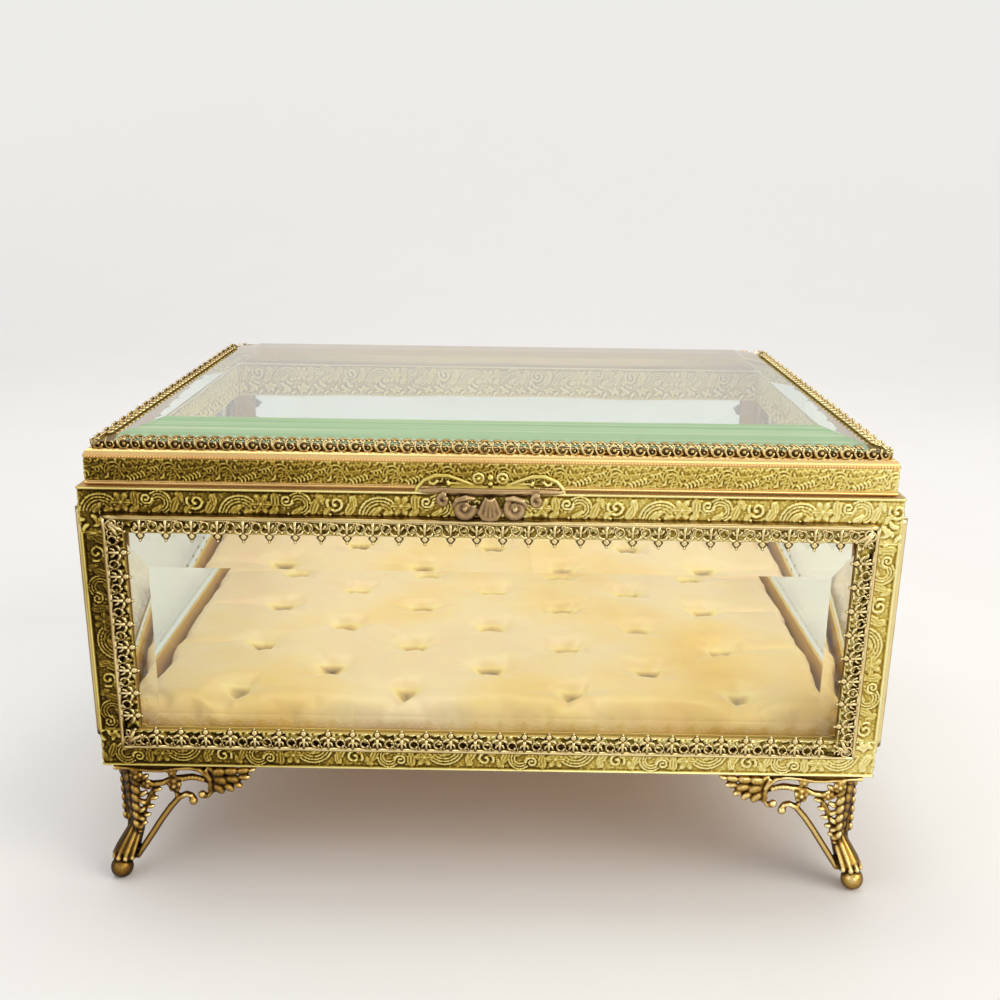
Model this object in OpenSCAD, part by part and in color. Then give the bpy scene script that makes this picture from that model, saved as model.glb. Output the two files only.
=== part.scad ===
/* [Body] */
// Width of the body across the front, outside the stamped frame
body_w = 200; // [170:5:240]
// Depth of the body from the front frame to the back frame
body_d = 152; // [130:2:190]
// Height of the body from its lower edge to the top of the rail
body_h = 75.3; // [64:0.1:100]
// Height of the body's lower edge above the surface that it stands on
foot_h = 34.5; // [32:0.5:40]
// Thickness of the stamped brass sheet
sheet_t = 0.8; // [0.6:0.1:1]
// Width of the face of a corner post
post_w = 10.2; // [9:0.2:12]
// Height of the face of the top rails
top_rail_h = 11.5; // [11:0.1:13]
// Height of the face of the bottom rails
bottom_rail_h = 10; // [9:0.5:12]
// Height of the inner skirt of the left and right bottom rails
side_skirt_h = 15; // [12:0.5:16]
// Height of the rail floor above the lower edge, where the base plate rests
floor_up = 4; // [3:0.5:5]
// Width of the floor of the bottom rails, from the face inwards
floor_w = 9; // [7:0.5:12]
// Running room between pieces that lie against each other
fit = 0.1; // [0.05:0.05:0.2]
// Gap in every mitred corner
mitre_gap = 0.06; // [0.04:0.02:0.2]

/* [Glass] */
// Thickness of a wall pane at its flat middle
pane_t = 5; // [4:0.5:6]
// Thickness of a wall pane at its ground edge
pane_edge_t = 2; // [1.5:0.5:2.5]
// Width of the bevel round a wall pane
pane_bevel_w = 10.6; // [8:0.2:13]
// Thickness of the lid pane at its flat middle
lid_pane_t = 5.5; // [4.5:0.5:6]
// Thickness of the lid pane at its ground edge
lid_pane_edge_t = 1.8; // [1.4:0.2:2.2]
// Width of the bevel round the lid pane
lid_bevel_w = 13.5; // [10:0.5:16]

/* [Lid] */
// Gap between the closed lid and the top rails
lid_gap = 0.25; // [0.2:0.05:0.5]
// How far the lid's stamped band stands in from the body's faces
lid_inset = 1.6; // [1:0.1:2.5]
// Height of the stamped band with its beaded edge
lid_band_h = 7.4; // [6:0.2:9]
// Radius of the beaded edge that stands out above the stamped band
lid_bead_r = 0.4; // [0.3:0.05:0.5]
// Height of the hollow moulding above the bead
lid_cove_h = 1.4; // [1.2:0.1:2]
// How far the hollow moulding draws in
lid_cove_in = 1.6; // [1.4:0.1:2]
// Width of the ledge that the lid pane rests on
lid_ledge_w = 3.6; // [3:0.2:6]
// Height of the leg of the ledge strip behind the stamped band
lid_ledge_h = 5; // [3:0.5:5.5]

/* [Gallery trim] */
// Distance from the edge of the body to the gallery strips
gallery_in = 5; // [4.5:0.1:5.5]
// How far the gallery strips stand out from the frame
gallery_out = 2; // [1.5:0.1:2.5]
// Fall of the gallery strip's lip over its width
gallery_fall = 0.8; // [0.4:0.1:1]
// Thickness of the gallery strip
gallery_t = 0.6; // [0.5:0.1:0.7]
// Distance from one picot of the gallery to the next
picot_pitch = 6.3; // [6:0.1:7]
// Length of a picot from the strip's solid edge to its tip
picot_drop = 5.6; // [5:0.1:6]
// Height of the pierced leg of the lid's gallery
lid_gallery_leg = 1.7; // [1.5:0.1:2]
// Width of the lid's gallery where it lies on the bevel
lid_gallery_lap = 3; // [2.6:0.1:3.6]
// Distance from one scroll of the lid's gallery to the next
lid_scroll_pitch = 3.15; // [3:0.05:3.6]

/* [Pad] */
// Thickness of the card board under the pad
board_t = 1.5; // [1:0.5:2]
// Height of the pad between its tufts
pad_h = 9.2; // [8:0.2:11]
// Gap between the pad and the skirts around it
pad_gap = 1.2; // [1:0.2:3]
// Depth of the sewn tufts
tuft_depth = 4; // [2:0.5:5]
// Distance between tufts along the width
tuft_dx = 22.4; // [18:0.2:24]
// Distance between the rows of tufts
tuft_dy = 14.8; // [12:0.2:16]

/* [Feet] */
// Thickness of the cast scrollwork of a foot
foot_t = 2.4; // [2:0.2:3]
// Distance from the body's face to the scrollwork
foot_in = 1.2; // [1:0.1:2]
// Radius of the ball toe
toe_r = 2.6; // [2.2:0.1:3]
// Distance from the body's faces to the middle of the ball toe
toe_in = 1.6; // [1.2:0.1:2.4]
// How far the ball toe is ground flat
toe_flat = 0.3; // [0.2:0.05:0.5]

/* [Hinges] */
// Distance of each hinge from the middle of the back
hinge_x = 58; // [40:1:62]
// Width of a hinge
hinge_w = 18; // [14:1:22]
// Width of the middle knuckle, which turns with the lid
knuckle_w = 7; // [5:0.5:8]
// Outer radius of the knuckles
knuckle_r = 1.7; // [1.6:0.1:2]
// Radius of the hinge pin
pin_r = 0.7; // [0.6:0.05:0.8]
// Clearance of the pin in the lid's knuckle
pin_play = 0.05; // [0.03:0.01:0.08]

/* [Thumb lift] */
// Thickness of the cast thumb lift
lift_t = 1.4; // [1.2:0.1:2]
// Gap between the hanging lobes and the gallery that they pass in front of
lift_gap = 0.4; // [0.4:0.1:1]

/* [Hidden] */
$fn = 32;
// A cut runs this far past the solid that it cuts
past = 1;

// The walls are numbered as they come round: front, right, back, left
FRONT = 0;
RIGHT = 1;
BACK = 2;
LEFT = 3;

// Glazing channel, measured from the face of the frame inwards
bevel_fall = pane_t - pane_edge_t;
pane_foot = floor_up + sheet_t + fit / 2;
// How far a pane reaches behind the face of the bottom rail
pane_lap = bottom_rail_h - pane_foot;
pane_in = sheet_t + fit + pane_edge_t + pane_lap * bevel_fall / pane_bevel_w;
skirt_in = pane_in + fit;
frame_t = skirt_in + sheet_t;
// Where a pane starts beside a corner, clear of the channel of the next wall
pane_edge_in = max(frame_t + fit, post_w - pane_lap);
web_down = top_rail_h - 2 - sheet_t;
pane_head = web_down + sheet_t + fit / 2;

body_top = foot_h + body_h;
wall_len = [body_w, body_d, body_w, body_d];
wall_off = [body_d / 2, body_w / 2, body_d / 2, body_w / 2];

// Lid heights and the plan size of its band
lid_z = body_top + lid_gap;
cove_top = lid_band_h + lid_cove_h;
lid_edge_in = lid_cove_in + gallery_t;
lid_pane_z = lid_z + cove_top - 0.65;
lid_bevel_rise = lid_pane_t - lid_pane_edge_t;
lid_bevel_angle = atan(lid_bevel_rise / lid_bevel_w);

// Pad stack
base_z = foot_h + floor_up + sheet_t;
board_z = base_z + sheet_t;
pad_z = board_z + board_t;

// Hinge axis, just behind the back face
axis_y = body_d / 2 + knuckle_r + fit;
axis_z = body_top + 0.1;

function reach(side) = wall_off[side];
function span(side) = wall_len[side];

// Puts children drawn on the front wall, face at y = 0, on any wall
module on_wall(side) {
    rotate([0, 0, 90 * side])
        translate([0, -reach(side), 0])
            children();
}

// Runs a cross-section, drawn as depth and height, along a wall and mitres its ends
module mitred_strip(length, depth) {
    half = length / 2 - mitre_gap / 2;
    intersection() {
        rotate([90, 0, 90])
            linear_extrude(length, center = true)
                children();
        translate([0, 0, -past])
            linear_extrude(body_h)
                polygon([[-half, 0], [half, 0], [half - depth, depth], [depth - half, depth]]);
    }
}

// A sheet of glass with its outer edges ground to a bevel; the flat back is at y = 0
module bevelled_sheet(width, height, thick, edge, bevel) {
    module section(size) {
        polygon([
            [-size / 2, 0], [size / 2, 0], [size / 2, edge],
            [size / 2 - bevel, thick], [bevel - size / 2, thick], [-size / 2, edge]
        ]);
    }
    intersection() {
        linear_extrude(height, center = true)
            section(width);
        rotate([0, 90, 0])
            linear_extrude(width, center = true)
                section(height);
    }
}

function unit(v) = v / norm(v);

// A point beside a bent rod: its sides are mitred where it bends
function beside(points, i, off) =
    let (
        last = len(points) - 1,
        before = unit(points[max(i, 1)] - points[max(i, 1) - 1]),
        after = unit(points[min(i, last - 1) + 1] - points[min(i, last - 1)]),
        along = unit(before + after)
    ) points[i] + off / (along * after) * [-along[1], along[0]];

// A bent rod of even width that follows a list of points
module rod(points, wide) {
    last = len(points) - 1;
    polygon(concat(
        [for (i = [0:last]) beside(points, i, wide / 2)],
        [for (i = [last:-1:0]) beside(points, i, -wide / 2)]
    ));
}

// A pointed leaf made of two arcs, with its stalk at the origin and its tip along x
module leaf(length, wide) {
    r = (length * length + wide * wide) / (4 * wide);
    intersection() {
        translate([length / 2, r - wide / 2])
            circle(r);
        translate([length / 2, wide / 2 - r])
            circle(r);
    }
}

module ring(r, hole_r) {
    difference() {
        circle(r);
        circle(hole_r);
    }
}

module brass() {
    color("#b08d3c")
        children();
}

module dark_brass() {
    color("#8c7030")
        children();
}

module glass() {
    color("#d4e4dc", 0.45)
        children();
}

module base_plate() {
    inside_w = body_w - 2 * (frame_t + fit);
    inside_d = body_d - 2 * (frame_t + fit);
    brass()
        translate([-inside_w / 2, -inside_d / 2, base_z])
            cube([inside_w, inside_d, sheet_t]);
}

module pad_board() {
    board_w = body_w - 2 * (frame_t + pad_gap);
    board_d = body_d - 2 * (frame_t + pad_gap);
    color("#cdbb98")
        translate([-board_w / 2, -board_d / 2, board_z])
            cube([board_w, board_d, board_t]);
}

// The pad's edge is a rounded profile: how far each level stands in, and its height
edge_levels = [[0.8, 0], [0, 0.3], [0.3, 0.62], [1.6, 0.86], [4, 1]];

// Height of the pad's top: crowned, and sewn down at each tuft of a staggered grid
function nearest_tuft(x, y) =
    let (
        row = round(y / tuft_dy),
        shift = abs(row) % 2 == 0 ? 0.5 : 0,
        col = round(x / (2 * tuft_dx) - shift) + shift,
        gap = norm([x - 2 * tuft_dx * col, y - row * tuft_dy])
    ) gap;
function pad_top(x, y) =
    let (
        here = nearest_tuft(x, y),
        other = min(nearest_tuft(x, y + tuft_dy / 2), nearest_tuft(x, y - tuft_dy / 2)),
        pull = exp(-pow(here / 4.6, 2)) + 0.15 * exp(-pow(other / 6, 2))
    ) pad_h - tuft_depth * min(1, pull);

module tufted_pad() {
    pad_w = body_w - 2 * (frame_t + pad_gap);
    pad_d = body_d - 2 * (frame_t + pad_gap);
    top_w = pad_w - 2 * edge_levels[4][0];
    top_d = pad_d - 2 * edge_levels[4][0];
    nx = 2 * round(top_w / tuft_dx * 3 / 2);
    ny = 2 * round(top_d / tuft_dy * 3 / 2);
    function grid(i, j) = [
        (i / nx - 0.5) * top_w,
        (j / ny - 0.5) * top_d
    ];
    top = [for (j = [0:ny]) for (i = [0:nx]) let (p = grid(i, j)) [p[0], p[1], pad_top(p[0], p[1])]];
    // The border of the grid, walked round once
    walk = concat(
        [for (i = [0:nx - 1]) [i, 0]], [for (j = [0:ny - 1]) [nx, j]],
        [for (i = [nx:-1:1]) [i, ny]], [for (j = [ny:-1:1]) [0, j]]
    );
    around = len(walk);
    function level_point(w, level) =
        let (
            p = grid(w[0], w[1]),
            x = w[0] == 0 ? -1 : w[0] == nx ? 1 : 0,
            y = w[1] == 0 ? -1 : w[1] == ny ? 1 : 0,
            corner = x != 0 && y != 0 ? 0.75 : 1,
            out = (edge_levels[4][0] - edge_levels[level][0]) * corner,
            rim = pad_top(p[0], p[1])
        ) [p[0] + x * out, p[1] + y * out, rim * edge_levels[level][1]];
    sides = [for (level = [0:3]) for (w = walk) level_point(w, level)];
    first = len(top);
    function rim_index(k) = let (w = walk[k % around]) w[1] * (nx + 1) + w[0];
    function side_index(level, k) = level == 4 ? rim_index(k) : first + level * around + k % around;
    quads = [for (level = [0:3]) for (k = [0:around - 1])
        [side_index(level, k), side_index(level, k + 1), side_index(level + 1, k + 1), side_index(level + 1, k)]];
    cells = [for (j = [0:ny - 1]) for (i = [0:nx - 1])
        let (a = j * (nx + 1) + i) [a, a + 1, a + nx + 2, a + nx + 1]];
    halves = [for (q = concat(cells, quads)) each [[q[2], q[1], q[0]], [q[3], q[2], q[0]]]];
    bottom = [for (k = [0:around - 1]) side_index(0, k)];
    color("#e6cfa6")
        translate([0, 0, pad_z])
            polyhedron(concat(top, sides), concat(halves, [bottom]));
}

module bottom_rail(side) {
    skirt_len = span(side) - 2 * (post_w + fit);
    brass()
        on_wall(side)
            translate([0, 0, foot_h]) {
                mitred_strip(span(side), floor_w + past) {
                    square([sheet_t, bottom_rail_h]);
                    translate([0, floor_up])
                        square([floor_w, sheet_t]);
                    translate([skirt_in, floor_up])
                        square([sheet_t, bottom_rail_h - floor_up]);
                }
                if (side == LEFT || side == RIGHT)
                    translate([-skirt_len / 2, skirt_in, floor_up])
                        cube([skirt_len, sheet_t, side_skirt_h - floor_up]);
            }
}

module top_rail(side) {
    brass()
        on_wall(side)
            translate([0, 0, body_top])
                mirror([0, 0, 1])
                    mitred_strip(span(side), frame_t + past) {
                        square([sheet_t, top_rail_h]);
                        square([frame_t, sheet_t]);
                        translate([0, web_down])
                            square([frame_t, sheet_t]);
                        translate([skirt_in, 0])
                            square([sheet_t, top_rail_h]);
                    }
}

// The corners are numbered like the walls, each at the left end of its wall.
// A post is folded sheet: an angle outside, an angle inside, and a square tube between them
module post_section() {
    core = pane_edge_in - fit;
    square([post_w, sheet_t]);
    square([sheet_t, post_w]);
    translate([core - sheet_t, 0])
        square([sheet_t, skirt_in]);
    translate([0, core - sheet_t])
        square([skirt_in, sheet_t]);
    translate([core - sheet_t, skirt_in])
        square([post_w - core + sheet_t, sheet_t]);
    translate([skirt_in, core - sheet_t])
        square([sheet_t, post_w - core + sheet_t]);
}

module post(corner) {
    brass()
        rotate([0, 0, 90 * corner])
            translate([-span(corner) / 2, -reach(corner), foot_h + bottom_rail_h])
                linear_extrude(body_h - bottom_rail_h - top_rail_h)
                    post_section();
}

module pane(side) {
    pane_w = span(side) - 2 * pane_edge_in;
    pane_h = body_h - pane_foot - pane_head;
    glass()
        on_wall(side)
            translate([0, pane_in, foot_h + pane_foot + pane_h / 2])
                mirror([0, 1, 0])
                    bevelled_sheet(pane_w, pane_h, pane_t, pane_edge_t, pane_bevel_w);
}

// One picot of the gallery: a fleur-de-lis under a scroll loop
module picot() {
    stem_w = 0.9;
    stem = 0.72 * picot_drop;
    lobe_r = 0.75;
    tip_w = 1.74;
    loop_r = 0.2 * picot_pitch;
    translate([-stem_w / 2, -stem])
        square([stem_w, stem]);
    for (s = [-1, 1]) {
        translate([s * 1.27 * lobe_r, -0.6 * picot_drop])
            circle(lobe_r);
        translate([s * picot_pitch / 4, -loop_r])
            ring(loop_r, loop_r / 2);
    }
    translate([0, -stem - tip_w / 5])
        rotate(45)
            square(tip_w, center = true);
    translate([0, -loop_r])
        circle(lobe_r);
}

// The ball that hangs from the scrolls between two picots
module scroll_ball() {
    ring_r = 0.183 * picot_pitch;
    translate([0, -0.32 * picot_drop])
        ring(ring_r, ring_r / 2);
    translate([0, -0.62 * picot_drop])
        circle(ring_r / 2);
}

// A length of gallery, outer edge at z = 0 and face towards -y, picots pointing down
module gallery_strip(length) {
    band = 1.1;
    mitre = 0.9 * picot_drop;
    half = length / 2 - mitre_gap / 2;
    count = floor((length - 2 * mitre - picot_pitch / 2) / picot_pitch);
    start = -(count - 1) / 2 * picot_pitch;
    face_half = half - gallery_fall;
    intersection() {
        rotate([90, 0, 90])
            linear_extrude(length, center = true)
                polygon([
                    [0, 0], [-gallery_out, -gallery_fall],
                    [-gallery_out, -gallery_fall - gallery_t], [0, -gallery_t]
                ]);
        translate([0, past, 0])
            rotate([90, 0, 0])
                linear_extrude(gallery_out + 2 * past)
                    polygon([[-half, 0], [half, 0], [half - mitre, -mitre], [mitre - half, -mitre]]);
    }
    translate([0, gallery_t - gallery_out, -gallery_fall])
        rotate([90, 0, 0])
            linear_extrude(gallery_t) {
                polygon([
                    [-face_half, 0], [face_half, 0], [face_half - band, -band], [band - face_half, -band]
                ]);
                // A leaf along each mitre
                for (s = [-1, 1])
                    polygon([
                        [s * (face_half - band / 2), -band / 2], [s * (face_half - mitre), -mitre],
                        [s * (face_half - mitre - band), -mitre / 2],
                        [s * (face_half - mitre - 2 * band), -band / 2]
                    ]);
                translate([0, -0.8 * band])
                    for (i = [0:count - 1]) {
                        translate([start + i * picot_pitch, 0])
                            picot();
                        if (i < count - 1)
                            translate([start + (i + 0.5) * picot_pitch, 0])
                                scroll_ball();
                    }
            }
}

// The four strips of a wall are turned in steps of a quarter: top, left, bottom, right
module gallery(side, turn) {
    across = span(side) - 2 * gallery_in;
    up = body_h - 2 * gallery_in;
    upright = turn % 2 == 1;
    brass()
        on_wall(side)
            translate([0, 0, foot_h + body_h / 2])
                rotate([0, -90 * turn, 0])
                    translate([0, 0, (upright ? across : up) / 2])
                        gallery_strip(upright ? up : across);
}

// Pierced scrollwork of a foot's wing, drawn as distance from the body's corner and height
// from its underside; the lower end follows the toe, so a longer foot stretches between them
toe_z = toe_r - toe_flat;
toe_down = foot_h - toe_z;
scroll_r = 5;
scroll_at = [22.4, -6.6];

module foot_frame() {
    // The long scroll that closes the bracket, with a bead in its end
    rod([[1.8, -2], [4.7, -2.1], [11.3, -2.9], [14.3, -2.9], [18.1, -2.1], [22.4, -2.2]], 1.2);
    translate(scroll_at)
        intersection() {
            ring(scroll_r, scroll_r - 1.2);
            polygon([[0, 6], [0, 0], [4, -5], [6, -6], [6, 6]]);
        }
    translate([24.6, -9.8])
        circle(1.1);
    // The smooth brace that runs down to the ankle
    rod([
        [22.2, -11.2], [21.4, -10], [20.2, -9.8], [18.6, -10.7], [16.6, -13], [13.6, -17.2],
        [8, 6.4 - toe_down], [5.4, 3.2 - toe_down]
    ], 1.5);
    translate([21.9, -11.6])
        circle(1.2);
}

module foot_leaves() {
    // Stem of two strands that draw together
    rod([[5.4, -2.2], [5.4, -8], [5.6, 10 - toe_down]], 1.4);
    rod([[12.4, -7.6], [9.9, -11.4], [7.9, -16], [6.9, 10.4 - toe_down]], 1.6);
    for (p = [[6.6, -3.6], [8, -6.2], [7.2, -9.4], [7.4, -12.6], [6.8, -15.6], [6.4, -18.6]])
        translate(p)
            circle(1.6);
    // Garland and flowers
    rod([[26.2, -6], [22.6, -4.8], [17.2, -5], [13, -6.8], [8.6, -6.2]], 1.6);
    translate([16.9, -3.4])
        circle(1.5);
    translate([17.5, -6.9])
        circle(2);
    rod([[17.4, -7.6], [17.8, -11.4]], 1.2);
    translate([10.6, -7])
        circle(1.5);
    // Acanthus tip of the bracket
    for (a = [-4, -20, -36, -56])
        translate([26.2, -2.6])
            rotate(a)
                leaf(12 + a / 12, 3.4);
}

// Ankle that swells out to the ball toe, drawn from the height of the toe's middle
module foot_ankle() {
    translate([0, -toe_down])
        polygon([
            [4.8, 11.7], [7.6, 10.4], [7.4, 7.8], [5.9, 4.6], [5.5, 1.8],
            [2.6, 1], [0.1, 2.4], [1.4, 5.6], [3.6, 8.6]
        ]);
}

// Stands a drawing of the wing up, from a depth behind the body's face
module wing_plate(depth, thick) {
    translate([0, depth + thick, foot_h])
        rotate([90, 0, 0])
            linear_extrude(thick)
                children();
}

module foot_wing() {
    tab_t = foot_t - 1;
    wing_plate(foot_in + 0.3, foot_t - 0.6)
        foot_frame();
    wing_plate(foot_in, foot_t)
        foot_leaves();
    wing_plate(foot_in - 0.3, foot_t + 0.6)
        foot_ankle();
    // Tab that stands up behind the rail's face and is soldered to its floor
    translate([foot_in + 1, foot_in + 1, foot_h - 2.4])
        cube([23, tab_t, 2.4 + floor_up]);
}

module foot(corner) {
    claw = 9;
    brass()
        rotate([0, 0, 90 * corner])
            translate([-span(corner) / 2, -reach(corner), 0])
                difference() {
                    union() {
                        foot_wing();
                        mirror([1, -1, 0])
                            foot_wing();
                        intersection() {
                            wing_plate(-past, claw)
                                foot_ankle();
                            mirror([1, -1, 0])
                                wing_plate(-past, claw)
                                    foot_ankle();
                        }
                        translate([toe_in, toe_in, toe_z])
                            sphere(toe_r);
                    }
                    // The toe's flat
                    translate([toe_in - toe_r, toe_in - toe_r, -2 * toe_r])
                        cube([2 * toe_r, 2 * toe_r, 2 * toe_r]);
                }
}

// Cross-section of the lid's rim: stamped band, bead and hollow moulding
module lid_rim_section() {
    difference() {
        square([lid_edge_in, cove_top]);
        translate([sheet_t, -past])
            square([lid_edge_in, lid_band_h - sheet_t + past]);
        translate([0, cove_top])
            circle(lid_cove_h);
    }
    translate([0, lid_band_h - lid_bead_r])
        circle(lid_bead_r);
}

module lid_rim(side) {
    brass()
        rotate([0, 0, 90 * side])
            translate([0, lid_inset - reach(side), lid_z])
                mitred_lid_strip(span(side) - 2 * lid_inset)
                    lid_rim_section();
}

// The same mitre for the lid, whose bead stands out past the face
module mitred_lid_strip(length) {
    half = length / 2 - mitre_gap / 2;
    wide = lid_edge_in + lid_ledge_w + past;
    intersection() {
        rotate([90, 0, 90])
            linear_extrude(length + 2 * past, center = true)
                children();
        translate([0, 0, -past])
            linear_extrude(cove_top + 4 * past)
                polygon([
                    [-half - past, -past], [half + past, -past],
                    [half - wide, wide], [wide - half, wide]
                ]);
    }
}

module lid_ledge(side) {
    ledge_top = lid_pane_z - lid_z;
    dark_brass()
        rotate([0, 0, 90 * side])
            translate([0, lid_inset - reach(side), lid_z])
                mitred_lid_strip(span(side) - 2 * lid_inset) {
                    translate([lid_edge_in, ledge_top - sheet_t])
                        square([lid_ledge_w, sheet_t]);
                    translate([lid_edge_in, ledge_top - lid_ledge_h])
                        square([sheet_t, lid_ledge_h]);
                }
}

module lid_pane() {
    inset = lid_inset + lid_edge_in + fit;
    glass()
        translate([0, 0, lid_pane_z])
            rotate([90, 0, 0])
                bevelled_sheet(
                    body_w - 2 * inset, body_d - 2 * inset, lid_pane_t, lid_pane_edge_t, lid_bevel_w
                );
}

module lid_gallery(side) {
    length = span(side) - 2 * (lid_inset + lid_cove_in);
    half = length / 2 - mitre_gap / 2;
    depth = lid_gallery_lap + gallery_t;
    band = 0.9;
    scallop_r = 1;
    inner_scallop_r = 1.1;
    count = floor((length - 2 * depth) / lid_scroll_pitch) + 1;
    start = -(count - 1) / 2 * lid_scroll_pitch;
    brass()
        rotate([0, 0, 90 * side])
            translate([0, lid_inset + lid_cove_in - reach(side), lid_pane_z + lid_pane_edge_t])
                intersection() {
                    union() {
                        // Leg in front of the ground edge, scalloped along its foot
                        translate([0, gallery_t, gallery_t])
                            rotate([90, 0, 0])
                                linear_extrude(gallery_t) {
                                    translate([-half, -band])
                                        square([2 * half, band]);
                                    for (i = [0:count - 1])
                                        translate([start + i * lid_scroll_pitch, scallop_r - lid_gallery_leg])
                                            circle(scallop_r);
                                }
                        // Lap on the bevel, scalloped along its inner edge
                        translate([0, gallery_t, fit / 5])
                            rotate([lid_bevel_angle, 0, 0])
                                linear_extrude(gallery_t) {
                                    translate([-half, -gallery_t / 2])
                                        square([2 * half, lid_gallery_lap - inner_scallop_r]);
                                    for (i = [1:count - 2])
                                        translate([start + i * lid_scroll_pitch, lid_gallery_lap - inner_scallop_r])
                                            circle(inner_scallop_r);
                                }
                    }
                    // Mitre of both ends
                    translate([0, 0, -lid_gallery_leg - past])
                        linear_extrude(2 * depth + past)
                            polygon([[-half, 0], [half, 0], [half - depth, depth], [depth - half, depth]]);
                }
}

// Half of the thumb lift's scrollwork above its ridge
module lift_wing() {
    rod([[3.4, 1.4], [7, 2.8], [10.4, 3.9], [13.4, 4], [16.2, 2.8], [18, 0.8]], 1.1);
    rod([[3, 0.9], [18, 0.8]], 1.2);
    translate([9.4, 1.8])
        rotate(8)
            leaf(6.4, 2.4);
    translate([2.9, 3.2])
        ring(1.5, 0.6);
}

// Half of the lobes that hang below it
module lift_lobes() {
    difference() {
        translate([6.1, -2.7])
            circle(3.3);
        translate([5, -2.1])
            circle(0.9);
        translate([7.6, -2.8])
            circle(0.8);
    }
    translate([11.5, -1])
        ring(2, 0.7);
}

module thumb_lift() {
    face = lid_inset - body_d / 2;
    hang = -body_d / 2 - gallery_out - lift_gap;
    ridge_low = lid_gap + 0.2;
    dark_brass()
        translate([0, 0, body_top]) {
            translate([0, face, 0])
                rotate([90, 0, 0])
                    linear_extrude(lift_t) {
                        for (s = [0, 1])
                            mirror([s, 0])
                                lift_wing();
                        translate([-3.4, ridge_low])
                            square([6.8, 2.6]);
                        translate([0, 3.6])
                            circle(1.2);
                    }
            translate([-11.5, hang - lift_t, ridge_low])
                cube([23, face - hang + lift_t, 1.2]);
            translate([0, hang, 0])
                rotate([90, 0, 0])
                    linear_extrude(lift_t) {
                        for (s = [0, 1])
                            mirror([s, 0])
                                lift_lobes();
                        difference() {
                            translate([0, -3])
                                circle(3.4);
                            translate([0, -2.4])
                                circle(0.8);
                        }
                        translate([-11.5, ridge_low - 1.6])
                            square([23, 2.6]);
                    }
        }
}

// A hinge is drawn about its own axis, with the box in front of it at -y
module hinge_knuckle(from, wide, hole) {
    translate([from, 0, 0])
        rotate([0, 90, 0])
            difference() {
                cylinder(r = knuckle_r, h = wide);
                translate([0, 0, -past])
                    cylinder(r = hole, h = wide + 2 * past);
            }
}

module hinge_body_leaf(x) {
    side_w = (hinge_w - knuckle_w) / 2 - fit;
    leaf_h = gallery_in - 0.4;
    brass()
        translate([x, axis_y, axis_z])
            difference() {
                union() {
                    for (s = [0, 1])
                        mirror([s, 0, 0])
                            translate([hinge_w / 2 - side_w, 0, 0])
                                rotate([0, 90, 0])
                                    cylinder(r = knuckle_r, h = side_w);
                    translate([-hinge_w / 2, body_d / 2 - axis_y, -leaf_h])
                        cube([hinge_w, sheet_t, leaf_h]);
                }
                translate([-hinge_w, 0, 0])
                    rotate([0, 90, 0])
                        cylinder(r = pin_r, h = 2 * hinge_w);
                // Room for the lid's knuckle
                translate([-knuckle_w / 2 - fit, body_d / 2 - axis_y - past, -knuckle_r - 0.3])
                    cube([knuckle_w + 2 * fit, 2 * knuckle_r + past, 2 * knuckle_r + past]);
            }
}

module hinge_lid_leaf(x) {
    back = body_d / 2 - lid_inset - axis_y;
    low = lid_z - axis_z + 0.15;
    brass()
        translate([x, axis_y, axis_z]) {
            hinge_knuckle(-knuckle_w / 2, knuckle_w, pin_r + pin_play);
            difference() {
                translate([-knuckle_w / 2, back, low])
                    cube([knuckle_w, -back, sheet_t]);
                translate([-hinge_w, 0, 0])
                    rotate([0, 90, 0])
                        cylinder(r = pin_r + pin_play, h = 2 * hinge_w);
            }
            translate([-hinge_w / 2, back, low])
                cube([hinge_w, sheet_t, lid_band_h - 1.6]);
        }
}

module hinge_pin(x) {
    head_h = 0.5;
    dark_brass()
        translate([x, axis_y, axis_z])
            rotate([0, 90, 0]) {
                cylinder(r = pin_r, h = hinge_w, center = true);
                translate([0, 0, hinge_w / 2])
                    cylinder(r = pin_r + 0.4, h = head_h);
            }
}

base_plate();
pad_board();
tufted_pad();
bottom_rail(FRONT);  // bottom_rail_front
bottom_rail(RIGHT);  // bottom_rail_right
bottom_rail(BACK);  // bottom_rail_back
bottom_rail(LEFT);  // bottom_rail_left
top_rail(FRONT);  // top_rail_front
top_rail(RIGHT);  // top_rail_right
top_rail(BACK);  // top_rail_back
top_rail(LEFT);  // top_rail_left
post(0);  // post_front_left
post(1);  // post_front_right
post(2);  // post_back_right
post(3);  // post_back_left
pane(FRONT);  // pane_front
pane(RIGHT);  // pane_right
pane(BACK);  // pane_back
pane(LEFT);  // pane_left
gallery(FRONT, 0);  // gallery_front_top
gallery(FRONT, 1);  // gallery_front_left
gallery(FRONT, 2);  // gallery_front_bottom
gallery(FRONT, 3);  // gallery_front_right
gallery(RIGHT, 0);  // gallery_right_top
gallery(RIGHT, 1);  // gallery_right_front
gallery(RIGHT, 2);  // gallery_right_bottom
gallery(RIGHT, 3);  // gallery_right_back
gallery(BACK, 0);  // gallery_back_top
gallery(BACK, 1);  // gallery_back_right
gallery(BACK, 2);  // gallery_back_bottom
gallery(BACK, 3);  // gallery_back_left
gallery(LEFT, 0);  // gallery_left_top
gallery(LEFT, 1);  // gallery_left_back
gallery(LEFT, 2);  // gallery_left_bottom
gallery(LEFT, 3);  // gallery_left_front
foot(0);  // foot_front_left
foot(1);  // foot_front_right
foot(2);  // foot_back_right
foot(3);  // foot_back_left
hinge_body_leaf(-hinge_x);  // hinge_left_body_leaf
hinge_body_leaf(hinge_x);  // hinge_right_body_leaf
hinge_pin(-hinge_x);  // hinge_left_pin
hinge_pin(hinge_x);  // hinge_right_pin
lid_rim(FRONT);  // lid_rim_front
lid_rim(RIGHT);  // lid_rim_right
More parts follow.
